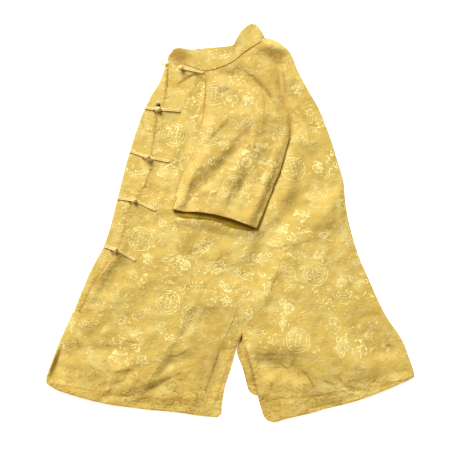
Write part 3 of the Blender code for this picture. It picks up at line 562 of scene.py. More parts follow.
def folds(points, cloth):
    """The height that the folds of one cloth add at each point."""
    total = np.zeros(len(points))
    for row in FOLDS[cloth]:
        fold = dict(zip(FOLD_COLUMNS, row))
        path = bent_path(fold, FOLD_STEP)
        reach = FOLD_SPREAD * fold["half"] * (1 + abs(fold["lean"]))
        low, high = path.min(0) - reach, path.max(0) + reach
        near = np.nonzero(((points > low) & (points < high)).all(1))[0]
        if not len(near):
            continue
        away, nearest = nearest_of(points[near], path)
        along = np.gradient(path, axis=0)[nearest]
        rel = points[near] - path[nearest]
        left = along[:, 0] * rel[:, 1] - along[:, 1] * rel[:, 0] > 0
        half = fold["half"] * np.where(left, 1 + fold["lean"], 1 - fold["lean"])
        taper = np.sin(np.pi * (nearest + 0.5) / len(path)) ** FOLD_TAPER
        total[near] += fold["rise"] * taper * (1 - smooth(away / (FOLD_SPREAD * half)))
    return total


def ripples(points):
    """The slight unevenness of cloth that lies loose."""
    total = np.zeros(len(points))
    for length, turn, start, height in RIPPLES:
        turn = math.radians(turn)
        along = points[:, 0] * math.cos(turn) + points[:, 1] * math.sin(turn)
        across = points[:, 1] * math.cos(turn) - points[:, 0] * math.sin(turn)
        total += height * np.sin(along * math.tau / length + start
                                 + RIPPLE_BEND * np.sin(
                                     across * math.tau / (RIPPLE_BEND_LENGTH * length)))
    return total


SLEEVE_PLAN = outline("sleeve under")[0]
SLEEVE_TOP_PLAN = outline("sleeve top")[0]
SLEEVE_SIDES = ("sleeve front", "sleeve back", "front raglan", "back raglan", "cap neck")
BODY_PLAN = np.vstack([line(n)[:-1] for n in (
    "front fold", "lower fold", "-front hem", "-front slit", "back slit", "back hem",
    "-back fold", "-back neck", "-cap neck", "-front neck", "-far neck gap")])
FAR_HEM = np.array(sorted(LINES["far front hem"] + LINES["far back hem"]), float)
UNDERARM = np.array((LINES["sleeve front"][0], LINES["sleeve back"][0]), float)


def far_body(points):
    """The far body lies on the surface, and over the far sleeve where that is under it."""
    over = inside_distance(points, SLEEVE_PLAN) + FAR_MARGIN
    return FAR_MIDDLE + 2 * LAYER * smooth(1 + over / FAR_SLOPE)


def underlap(points):
    return far_body(points) + FLAP_RISE + folds(points, "flap")


def past_far_hem(points):
    """How far each point is past the far hem, where only the near layer is left."""
    return np.interp(points[:, 0], FAR_HEM[:, 0], FAR_HEM[:, 1]) - points[:, 1]


def near_floor(points):
    """The lowest that the near body may lie."""
    return far_body(points) + ROOM * (1 - smooth(past_far_hem(points) / FAR_HEM_SLOPE))


def near_body_loose(points):
    """The near body with its folds, which sinks past the far hem."""
    beside = distance_to(points, BODY_FOLDS)
    hem = distance_to(points, BODY_HEMS)
    loft = BODY_LOFT * smooth(beside / LOFT_REACH) * (
        HEM_LOFT + (1 - HEM_LOFT) * smooth(hem / HEM_LOFT_REACH))
    loft += EDGE_LOFT * smooth(beside / EDGE_LOFT_REACH) * smooth(hem / EDGE_LOFT_HEM)
    drop = HEM_DROP * smooth(past_far_hem(points) / HEM_DROP_REACH)
    loose = ripples(points) * smooth(inside_distance(points, BODY_PLAN) / RIPPLE_EDGE)
    hidden = 1 - smooth(inside_distance(points, SLEEVE_TOP_PLAN) / HIDDEN_REACH)
    creased = folds(points, "body") * smooth(beside / FOLD_EDGE) * hidden
    return far_body(points) + BODY_RISE - drop + loft + loose + creased


def tight_places(height, floor, plan):
    """Rows of x, y and how far the cloth would sink through what lies under it."""
    low, high = plan.min(0), plan.max(0)
    grid = np.stack(np.meshgrid(*[np.arange(a, b, FOLD_GRID) for a, b in zip(low, high)]), -1)
    grid = grid.reshape(-1, 2)
    grid = grid[inside_distance(grid, plan) > 0]
    short = floor(grid) - height(grid)
    worst = {}
    for place, much in zip(grid[short > 0], short[short > 0]):
        cell = tuple((place // FOLD_CELL).astype(int))
        if much > worst.get(cell, (0, 0, 0))[2]:
            worst[cell] = (*place, much)
    return np.array(list(worst.values())).reshape(-1, 3)


def stood_up(points, places, reach):
    """How much the cloth stands up round its deepest folds, to clear what lies under them."""
    total = np.zeros(len(points))
    for x, y, much in places:
        away = np.hypot(points[:, 0] - x, points[:, 1] - y)
        total = np.maximum(total, much * (1 - smooth((away - FOLD_CELL / 2) / reach)))
    return total


TIGHT_BODY = tight_places(near_body_loose, near_floor, BODY_PLAN)


def near_body(points):
    """The near body lies on the far one, and stands up where its folds are deep."""
    raised = near_body_loose(points) + stood_up(points, TIGHT_BODY, BODY_REACH)
    return np.maximum(raised, near_floor(points))


def seam_dip(points):
    """How far cloth is drawn down beside the seams."""
    return SEAM_DIP * np.exp(-(distance_to(points, NEAR_SEAMS) / SEAM_DIP_REACH) ** 2)


def body_with_seams(points):
    return near_body(points) - seam_dip(points)


def sleeve_under(points):
    return near_body(points) + LAYER


def below_underarm(points):
    """0 on the cap of the sleeve, and 1 where the sleeve has two layers."""
    underarm = np.interp(points[:, 0], UNDERARM[:, 0], UNDERARM[:, 1])
    return smooth((underarm + SLEEVE_LEAD - points[:, 1]) / SLEEVE_LEAD)


def sleeve_floor(points):
    """The lowest that the top of the near sleeve may lie."""
    lowest = near_floor(points)
    above = near_body(points) + LAYER + ROOM - lowest
    return lowest + below_underarm(points) * above


def sleeve_top_loose(points):
    """Level with the body at the collar, and two layers and some air above it at the cuff."""
    share = below_underarm(points)
    side = distance_to(points, SLEEVE_SIDES)
    puff = SLEEVE_LOFT * smooth(side / SLEEVE_LOFT_REACH)
    lift = CUFF_LIFT * (1 - smooth(distance_to(points, ("cuff",)) / CUFF_REACH))
    crease = folds(points, "sleeve") * smooth(side / SLEEVE_FOLD_EDGE)
    puff *= CAP_PUFF + (1 - CAP_PUFF) * share
    return near_body(points) + share * 2 * LAYER + puff + lift + crease


TIGHT_SLEEVE = tight_places(sleeve_top_loose, sleeve_floor, SLEEVE_TOP_PLAN)


def sleeve_top(points):
    """The top of the near sleeve, which stands up where its folds are deep."""
    seam = distance_to(points, ("front raglan", "back raglan", "cap neck"))
    raised = sleeve_top_loose(points) + (
        stood_up(points, TIGHT_SLEEVE, SLEEVE_REACH) * smooth(seam / SEAM_CLEAR))
    return np.maximum(raised, sleeve_floor(points)) - seam_dip(points)


def floor_sleeve_top(points):
    return np.full(len(points), FAR_MIDDLE)


def floor_sleeve_under(points):
    return np.full(len(points), FAR_MIDDLE + LAYER)


def collar_near(points):
    return near_body(points) + (COLLAR_WALL - WALL) / 2 + folds(points, "collar")


def collar_far(points):
    return far_body(points) + (COLLAR_WALL - WALL) / 2


def inner_points(edge, step):
    """An even triangular grid of points inside an outline."""
    low, high = edge.min(0), edge.max(0)
    rows = np.arange(low[1], high[1], step * math.sqrt(3) / 2)
    grid = np.vstack([np.column_stack([xs, np.full(len(xs), y)]) for xs, y in
                      ((np.arange(low[0], high[0], step) + (k % 2) * step / 2, y)
                       for k, y in enumerate(rows))])
    return grid[inside_distance(grid, edge) > GRID_MARGIN * min(step, 2 * EDGE_STEP)]


def bulge_directions(layer, name):
    """Where a folded edge bulges: straight out, and at its ends along the seam that meets it."""
    index, plan = layer["lines"][name], layer["plan"]
    out = layer["out"][index].copy()
    for end, beside in ((0, index[0] - 1), (-1, (index[-1] + 1) % len(plan))):
        seam = plan[index[end]] - plan[beside]
        seam /= np.linalg.norm(seam)
        if seam @ out[end] > SEAM_ACROSS:
            out[end] = seam * SEAM_BULGE
    return out


class Cloth:
    """The middle surface of one piece of cloth, made of flat layers joined by folded edges."""

    def __init__(self):
        self.points, self.faces = [], []

    def layer(self, name, height, step, up=True, gap=SEAM_GAP):
        """Adds a layer at height(points), and returns its edge for fold()."""
        plan, lines = outline(name)
        out = outward(plan)
        edge = plan - out * (gap / 2 + EDGE_ROUND)
        flat = np.vstack([edge, inner_points(edge, step)])
        found = delaunay_2d_cdt([tuple(p) for p in flat], [], [list(range(len(edge)))], 1, 1e-5)
        if len(found[0]) != len(flat):
            raise ValueError(f"the outline of {name} crosses itself")
        flat, faces = np.array([tuple(p) for p in found[0]]), found[2]
        start = len(self.points)
        self.points += list(np.column_stack([flat, height(flat)]))
        self.faces += [tuple(start + i for i in (f if up else f[::-1])) for f in faces]
        return {"start": start, "lines": lines, "out": out, "plan": plan}

    def fold(self, upper, lower, name):
        """Joins the same line of two layers by a half round, bulging outward."""
        top = [upper["start"] + i for i in upper["lines"][name]]
        foot = [lower["start"] + i for i in lower["lines"][name]]
        out = np.column_stack([bulge_directions(upper, name), np.zeros(len(top))])
        a, b = (np.array([self.points[i] for i in found]) for found in (top, foot))
        middle, half = (a + b) / 2, (a - b) / 2
        bulge = out * np.minimum(np.abs(half[:, 2:]), BEND_BULGE)
        rows = [top]
        for k in range(1, BEND_FACES):
            turn = math.pi * k / BEND_FACES
            rows.append(list(range(len(self.points), len(self.points) + len(top))))
            self.points += list(middle + half * math.cos(turn) + bulge * math.sin(turn))
        rows.append(foot)
        for above, below in zip(rows, rows[1:]):
            for i in range(len(top) - 1):
                self.faces.append((above[i + 1], above[i], below[i]))
                self.faces.append((above[i + 1], below[i], below[i + 1]))

    def normals(self, p, faces):
        across = np.cross(p[faces[:, 1]] - p[faces[:, 0]], p[faces[:, 2]] - p[faces[:, 0]])
        across /= np.sqrt(np.maximum(np.linalg.norm(across, axis=1, keepdims=True), 1e-12))
        normal = np.zeros_like(p)
        for k in range(3):
            np.add.at(normal, faces[:, k], across)
        return unit(normal)

    def shell(self, thickness):
        """(points, faces) of the closed shell round this surface, with rounded edges."""
        p, faces = np.array(self.points), np.array(self.faces)
        normal = self.normals(p, faces)
        count = len(p)
        sides = {(f[i], f[(i + 1) % 3]) for f in self.faces for i in range(3)}
        rim = sorted((a, b) for a, b in sides if (b, a) not in sides)
        out = np.zeros_like(p)
        for a, b in rim:
            away = np.cross(p[b] - p[a], normal[a])
            out[a] += away
            out[b] += away
        edge = sorted({i for pair in rim for i in pair})
        middle = {i: 2 * count + k for k, i in enumerate(edge)}
        points = np.vstack([p + normal * thickness / 2, p - normal * thickness / 2,
                            p[edge] + unit(out[edge]) * EDGE_ROUND])
        points[:, 2] = np.maximum(points[:, 2], 0)
        made = [tuple(f) for f in faces] + [tuple(i + count for i in f[::-1]) for f in faces]
        for a, b in rim:
            made.append((b, a, middle[a], middle[b]))
            made.append((middle[b], middle[a], a + count, b + count))
        return points, made


def to_frame(points):
    """Plan millimetres to the frame's metres."""
    points = np.array(points, float)
    points[:, :2] -= PLAN_MIDDLE
    return points * MM


def add_object(name, points, faces, material, slot, replaced):
    mesh = bpy.data.meshes.new(name)
    mesh.from_pydata(to_frame(points).tolist(), [], faces)
    mesh.validate()
    mesh.shade_smooth()
    mesh.set_sharp_from_angle(angle=math.radians(SHARP_DEGREES))
    mesh.materials.append(material)
    made = bpy.data.objects.new(name, mesh)
    bpy.context.scene.collection.objects.link(made)
    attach(made, "root")
    if replaced:
        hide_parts(replaced)
    return made


def scatter_figures(cloth, panels, seed):
    """Rows of (x, y, turn, kind) for the figures of one cloth: placed ones, then random ones."""
    random = np.random.default_rng(seed)
    edges = [outline(panel)[0] for panel in panels]
    low = np.min([e.min(0) for e in edges], axis=0)
    high = np.max([e.max(0) for e in edges], axis=0)
    placed = [dict(zip(FIGURE_COLUMNS, row)) for row in FIGURES.get(cloth, ())]
    found = np.array([(f["x"], f["y"], math.radians(f["turn"]), KINDS.index(f["kind"]))
                      for f in placed]).reshape(-1, 4)
    reach = np.array([REACH[k] for k in KINDS])
    for kind, count in TRIES.items():
        for x, y in random.uniform(low, high, (count, 2)):
            away = np.hypot(found[:, 0] - x, found[:, 1] - y) - reach[found[:, 3].astype(int)]
            if (away > REACH[kind] + FIGURE_GAP).all():
                turn = random.uniform(-1, 1) * TURNS.get(kind, math.pi)
                found = np.vstack([found, (x, y, turn, KINDS.index(kind))])
    return found


def plan_places(items, key):
    """Where the vertices or the middles of the faces of a mesh lie in the plan."""
    places = np.empty(len(items) * 3)
    items.foreach_get(key, places)
    return places.reshape(-1, 3)[:, :2] / MM + PLAN_MIDDLE


def store(mesh, name, domain, values):
    """Keeps a number, or x, y and z, for each vertex, corner or face of a mesh."""
    kind, key = ("FLOAT", "value") if values.ndim == 1 else ("FLOAT_VECTOR", "vector")
    mesh.attributes.new(name, kind, domain).data.foreach_set(key, values.ravel())


def mark_figures(made, figures):
    """Stores, for each face, its figure's kind and the places of its corners in that figure."""
    mesh = made.data
    count = len(mesh.polygons)
    corners = np.empty(len(mesh.loops), int)
    mesh.loops.foreach_get("vertex_index", corners)
    sizes = np.empty(count, int)
    mesh.polygons.foreach_get("loop_total", sizes)
    centres = plan_places(mesh.polygons, "center")
    kinds = sorted(set(figures[:, 3].astype(int)))
    groups = [figures[figures[:, 3] == k] for k in kinds]
    found = [nearest_of(centres, group[:, :2]) for group in groups]
    best = np.argmin([away - REACH[KINDS[k]] for k, (away, _) in zip(kinds, found)], axis=0)
    chosen = np.empty((count, 4))
    for k, (group, (_, index)) in enumerate(zip(groups, found)):
        chosen[best == k] = group[index[best == k]]
    each = np.repeat(chosen, sizes, axis=0)
    rel = plan_places(mesh.vertices, "co")[corners] - each[:, :2]
    cos, sin = np.cos(each[:, 2]), np.sin(each[:, 2])
    store(mesh, "figure_place", "CORNER", np.column_stack([
        rel[:, 0] * cos + rel[:, 1] * sin, rel[:, 1] * cos - rel[:, 0] * sin,
        np.zeros(len(rel))]))
    store(mesh, "figure_kind", "FACE", chosen[:, 3].astype(float))
    # The placed figures stand out, and of the rest some more than others
    strength = MEAN_STRENGTH + STRENGTH_SWING * np.sin(chosen[:, 0] * 1.7 + chosen[:, 1] * 2.3)
    placed = np.array([row[1:3] for rows in FIGURES.values() for row in rows])
    strength[nearest_of(chosen[:, :2], placed)[0] < 0.1] = PLACED_STRENGTH
    store(mesh, "figure_strength", "FACE", strength)


def mark_crease_shades(made, cloth):
    """Stores how far each point is to the side of its nearest crease, in half widths, and how much
    painted shade that crease lays there."""
    places = plan_places(made.data.vertices, "co")
    rows = [dict(zip(CREASE_COLUMNS, row)) for row in CREASE_SHADES[cloth]]
    paths = [bent_path(row, CREASE_STEP) for row in rows]
    taper = np.concatenate([np.sin(np.pi * (np.arange(len(p)) + 0.5) / len(p)) ** CREASE_TAPER
                            for p in paths])
    along = np.vstack([np.gradient(p, axis=0) for p in paths])
    half, much = (np.concatenate([np.full(len(p), r[key]) for p, r in zip(paths, rows)])
                  for key in ("half", "dark"))
    paths = np.vstack(paths)
    away, nearest = nearest_of(places, paths)
    rel = places - paths[nearest]
    turn = np.sign(along[nearest, 0] * rel[:, 1] - along[nearest, 1] * rel[:, 0])
    fade = 1 - smooth((away - CREASE_REACH) / CREASE_FADE)
    store(made.data, "crease_side", "POINT", away * turn / half[nearest])
    store(made.data, "crease_shade", "POINT", much[nearest] * taper[nearest] * fade)


def mark_edges(made, shade_tone):
    """Stores how far each point is from turned edges, hems and seams, and the cloth's painted
    shade.
    """
    places = plan_places(made.data.vertices, "co")
    shade_tones = np.full(len(places), float(shade_tone))
    if made.name.startswith("sleeve"):
        past = inside_distance(places, SLEEVE_TOP_PLAN) < -PAST_CUFF
        shade_tones[past & (distance_to(places, ("cuff",)) < INSIDE_REACH)] = INSIDE_SHADE_TONE
    store(made.data, "shade_tone", "POINT", shade_tones)
    for name, lines in (("from_edge", TURNED), ("from_hem", HEMS), ("from_seam", NEAR_SEAMS)):
        store(made.data, name, "POINT", np.minimum(distance_to(places, lines), MOST_AWAY))


class Value:
    """A number that varies over a surface. Sums, products and tests of it add Math nodes."""

    def __init__(self, graph, socket):
        self.graph, self.socket = graph, socket

    def __add__(self, other):
        return self.graph.math("ADD", self, other)

    def __sub__(self, other):
        return self.graph.math("SUBTRACT", self, other)

    def __mul__(self, other):
        return self.graph.math("MULTIPLY", self, other)

    def __lt__(self, other):
        return self.graph.math("LESS_THAN", self, other)

    def __gt__(self, other):
        return self.graph.math("GREATER_THAN", self, other)

    def __or__(self, other):
        return self.graph.math("MAXIMUM", self, other)

    def near(self, other, within):
        return self.graph.math("COMPARE", self, other, within)


class Graph:
    """A material's node tree, with short calls for the nodes that it is made of."""

    def __init__(self, name):
        self.material = bpy.data.materials.new(name)
        self.material.use_nodes = True
        self.tree = self.material.node_tree
        self.shader = self.tree.nodes["Principled BSDF"]

    def shade(self, inputs):
        """Sets or links inputs of the material's shader."""
        for key, value in inputs.items():
            self.put(self.shader.inputs[key], value)

    def stored(self, name):
        """A number that a mesh keeps."""
        return Value(self, self.node("Attribute", attribute_name=name).outputs["Fac"])

    def put(self, socket, given):
        if isinstance(given, Value):
            given = given.socket
        if isinstance(given, bpy.types.NodeSocket):
            self.tree.links.new(given, socket)
        else:
            socket.default_value = given

    def node(self, kind, inputs=None, **settings):
        made = self.tree.nodes.new(f"ShaderNode{kind}")
        for key, value in settings.items():
            setattr(made, key, value)
        for key, value in (inputs or {}).items():
            self.put(made.inputs[key], value)
        return made

    def math(self, operation, *inputs):
        made = self.node("Math", dict(enumerate(inputs)), operation=operation)
        return Value(self, made.outputs[0])

    def vector(self, operation, *inputs):
        return self.node("VectorMath", dict(enumerate(inputs)), operation=operation)

    def parts(self, vector):
        made = self.node("SeparateXYZ", {0: vector})
        return Value(self, made.outputs[0]), Value(self, made.outputs[1])

    def distance(self, place, x=0.0, y=0.0):
        return Value(self, self.vector("DISTANCE", place, (x, y, 0)).outputs["Value"])

    def disc(self, place, x, y, radius):
        return self.distance(place, x, y) < radius

    def ring(self, place, x, y, radius, half):
        return self.distance(place, x, y).near(radius, half)

    def lens(self, place, x, y, reach, width):
        """How far out of a pointed leaf along x each point is: its edge is at the radius."""
        lift = (reach * reach - width * width) / (2 * width)
        upper = self.distance(place, x, y - lift)
        return upper | self.distance(place, x, y + lift), lift + width

    def mix(self, share, a, b):
        made = self.node("Mix", data_type="RGBA")
        for key, value in (("Factor", share), ("A", a), ("B", b)):
            socket = next(s for s in made.inputs if s.name == key and s.enabled)
            self.put(socket, value)
        return next(s for s in made.outputs if s.enabled)

    def wobbled(self, vector, place, scale, reach):
        """A vector, moved a little this way and that from place to place."""
        noise = self.node("TexNoise", {"Vector": place, "Scale": scale, "Detail": 1.0})
        push = self.vector("MULTIPLY_ADD", noise.outputs["Color"], (2 * reach,) * 3,
                           (-reach,) * 3)
        return self.vector("ADD", vector, push.outputs[0]).outputs[0]

    def ramp(self, value, low, high, start=0.0, end=1.0):
        made = self.node("MapRange", {"Value": value, "From Min": low, "From Max": high,
                                      "To Min": start, "To Max": end})
        return Value(self, made.outputs[0])

    def noise(self, place, scale, detail=2.0, rough=0.5):
        made = self.node("TexNoise", {"Vector": place, "Scale": scale, "Detail": detail,
                                      "Roughness": rough})
        return Value(self, made.outputs[0])


def medallion(g, p):
    """A ring round a square fret: a ladder in the middle, a comb at each side, and two arcs."""
    x, y = (g.math("ABSOLUTE", c) for c in g.parts(p))
    ring = g.ring(p, 0.0, 0.0, 20.8, 0.95)
    arcs = g.ring(p, 0.0, 0.0, 16.4, 0.8) * (y > 9.5)
    teeth = (y.near(6.4, 0.85) | y.near(0.0, 0.85)) * x.near(12.2, 4.0)
    comb = x.near(15.6, 0.9) * (y < 7.2) | teeth
    rungs = (y.near(4.2, 0.8) | y.near(10.2, 0.8)) * (x < 6.6)
    ladder = x.near(3.6, 0.85) * (y < 12.6) | rungs
    return ring | arcs | comb | ladder


def shield(g, p):
    """A broad leaf in two outlines, barred inside, with a smaller one and two curls beside it."""
    out, edge = g.lens(p, -3.0, 3.0, 17.0, 8.0)
    inner = out < edge - 3.6
    bars = inner * (g.math("PINGPONG", g.parts(p)[0], 1.9) < 0.75)
    small, rim = g.lens(p, 3.0, -8.5, 12.0, 5.0)
    curls = g.ring(p, 15.5, 3.5, 4.0, 0.85) | g.ring(p, 14.0, -7.0, 4.6, 0.85)
    return (out.near(edge - 0.9, 0.9) | bars | out.near(edge - 3.6, 0.5) | inner * 0.35
            | small.near(rim - 0.8, 0.8) * (out > edge) | (small < rim) * 0.35 | curls)


def fruit(g, p):
    """A full round fruit and a hollow one, with a curl and two leaves."""
    whole = g.disc(p, -6.0, 5.6, 7.6)
    hollow = g.ring(p, 5.0, -5.0, 8.0, 1.8)
    seed = g.ring(p, 5.4, -4.0, 2.6, 0.8)
    curl = g.ring(p, -13.0, -7.0, 4.0, 0.9) * (g.distance(p, -10.0, -9.0) > 3.2)
    first, edge = g.lens(p, 7.5, 9.5, 7.0, 2.9)
    second, _ = g.lens(p, -3.5, -15.0, 7.0, 2.9)
    return (whole | hollow | seed | curl | first.near(edge - 0.8, 0.8)
            | second.near(edge - 0.8, 0.8) | g.disc(p, 5.0, -5.0, 8.0) * 0.45)


def cloud(g, p):
    """A band of cloud: waving strokes of three lengths that end in rings."""
    x, y = g.parts(p)
    wave = y + g.math("SINE", x * 0.42) * 1.7
    long = wave.near(0.0, 1.15) * (x + 2.0).near(0.0, 14.5)
    upper = wave.near(4.6, 0.9) * (x - 3.0).near(0.0, 9.0)
    lower = wave.near(-4.6, 0.9) * (x - 1.0).near(0.0, 11.0)
    low = wave.near(-8.6, 0.8) * (x + 4.0).near(0.0, 6.0)
    rings = g.ring(p, -13.5, 5.0, 3.4, 0.95) | g.ring(p, 13.5, -1.0, 3.2, 1.0)
    return long | upper | lower | low | rings | g.disc(p, -5.0, 8.0, 1.9)


def ribbon(g, p):
    """A knotted ribbon: two open loops, a small ring and a tail."""
    x, y = g.parts(p)
    upper = (g.ring(p, -6.0, 1.0, 4.6, 1.0) | g.ring(p, 4.5, 2.0, 5.6, 1.0)) * (y > -0.8)
    middle = g.ring(p, 0.0, -3.0, 2.8, 0.9)
    tail = g.ring(p, 3.0, -14.0, 12.0, 1.0) * (y > -5.5) * (x > 1.0)
    stroke = y.near(-9.5, 0.8) * x.near(-2.5, 5.5)
    return upper | middle | tail | stroke


def leaf(g, p):
    """The outline of a pointed leaf with a round eye and one short vein."""
    x, y = g.parts(p)
    out, edge = g.lens(p, 0.0, 0.0, 11.5, 4.8)
    vein = y.near(0.0, 0.7) * x.near(5.4, 2.2)
    stroke = (y + x * 0.3).near(-7.6, 0.75) * x.near(1.0, 6.5)
    return (out.near(edge - 0.9, 0.9) | g.disc(p, -1.5, 0.0, 1.9) | vein | stroke
            | (out < edge) * 0.4)


def sprig(g, p):
    """A bent stem with small leaves and a bud."""
    stem = g.ring(p, 0.0, -14.0, 14.0, 0.8) * (g.parts(p)[1] > -4.0)
    first, edge = g.lens(p, 4.0, 3.6, 4.8, 2.0)
    second, _ = g.lens(p, -4.5, 2.8, 4.8, 2.0)
    return stem | (first < edge) | (second < edge) | g.ring(p, 0.0, -5.0, 2.6, 0.85)


def blossom(g, p):
    """Five petals round an open eye."""
    x, y = g.parts(p)
    out = g.distance(p)
    turn = g.math("COSINE", g.math("ARCTAN2", x, y) * 5.0)
    rim = turn * 0.9 + 6.4
    return out.near(rim, 1.15) | out.near(2.5, 0.9) | (out < rim) * 0.35


def cluster(g, p):
    """Five full petals round a dot."""
    x, y = g.parts(p)
    turn = g.math("COSINE", g.math("ARCTAN2", x, y) * 5.0)
    return g.distance(p).near(4.4, 1.9) * (turn > -0.25) | g.disc(p, 0.0, 0.0, 1.2)


def hook(g, p):
    """Two open curls, one over the other."""
    x, y = g.parts(p)
    upper = g.ring(p, 0.4, 2.6, 2.7, 0.85) * (x + y * 0.5 > -0.2)
    lower = g.ring(p, -0.4, -2.6, 3.0, 0.85) * (x - y * 0.3 > -1.2)
    return upper | lower


def dash(g, p):
    """A short bent stroke."""
    return g.ring(p, 0.0, -7.0, 7.0, 0.85) * (g.parts(p)[1] > -1.1)


def figure_mask(g):
    """1 on the woven figure and 0 on the ground."""
    world = g.node("TexCoord").outputs["Object"]
    place = g.node("Attribute", attribute_name="figure_place").outputs["Vector"]
    large = g.wobbled(place, world, 110.0, 1.5)
    bold = g.wobbled(g.vector("MULTIPLY", place, (BOLD,) * 3).outputs[0], world, 125.0, 4.2)
    kind = g.stored("figure_kind")
    total = None
    for number, draw in enumerate((medallion, shield, fruit, cloud, ribbon, leaf, sprig, blossom,
                                   cluster, hook, dash)):
        shown = draw(g, large if number < 4 else bold) * kind.near(float(number), 0.4)
        total = shown if total is None else total + shown
    return total * g.ramp(g.noise(world, 210.0, 2.0), 0.38, 0.52, 0.1, 1.0)


def srgb(red, green, blue):
    """A colour from 0 to 255 as a linear one."""
    parts = [c / 255 for c in (red, green, blue)]
    return (*[c / 12.92 if c <= 0.04045 else ((c + 0.055) / 1.055) ** 2.4 for c in parts], 1)


GROUND_DARK = srgb(186, 156, 72)
GROUND_LIGHT = srgb(208, 181, 96)
FIGURE_LIGHT = srgb(234, 218, 146)
# Painted sheen: the figure where its satin would catch less light, darker than the ground
FIGURE_SHADE = srgb(128, 96, 34)
# Painted shade, warm brown, along turned edges and beside the seams
WARM_SHADE = srgb(188, 142, 54)
# Painted shade, brown, which on the collar's inside also stands for soiling
SHADE_AND_STAIN = srgb(150, 110, 40)
# Painted shade in creases and along edges that lie on the cloth
CREASE_SHADE = srgb(116, 76, 4)
# Painted shade on the inside of the sleeve, which shows past the cuff
INSIDE_SHADE = srgb(164, 130, 22)
INSIDE_SHADE_TONE = 1.3  # the inside of the sleeve, which shows past the cuff
# Brownish patches of painted shade where folds and seams lie in shade, on the collar's inside
# also soiling: the middle, the half width and height, and how strong
SHADE_AND_STAIN_PATCHES = (
    (-90, 299, 21, 16, 0.75), (10, 324, 13, 9, 0.35), (97, 236, 8, 26, 0.35),
    (105, 172, 7, 24, 0.35), (-60, 180, 7, 12, 0.35), (82, 301, 22, 10, 0.7),
    (56, 310, 16, 7, 0.45), (-40, -228, 34, 72, 0.16), (84, -234, 46, 16, 0.2),
)


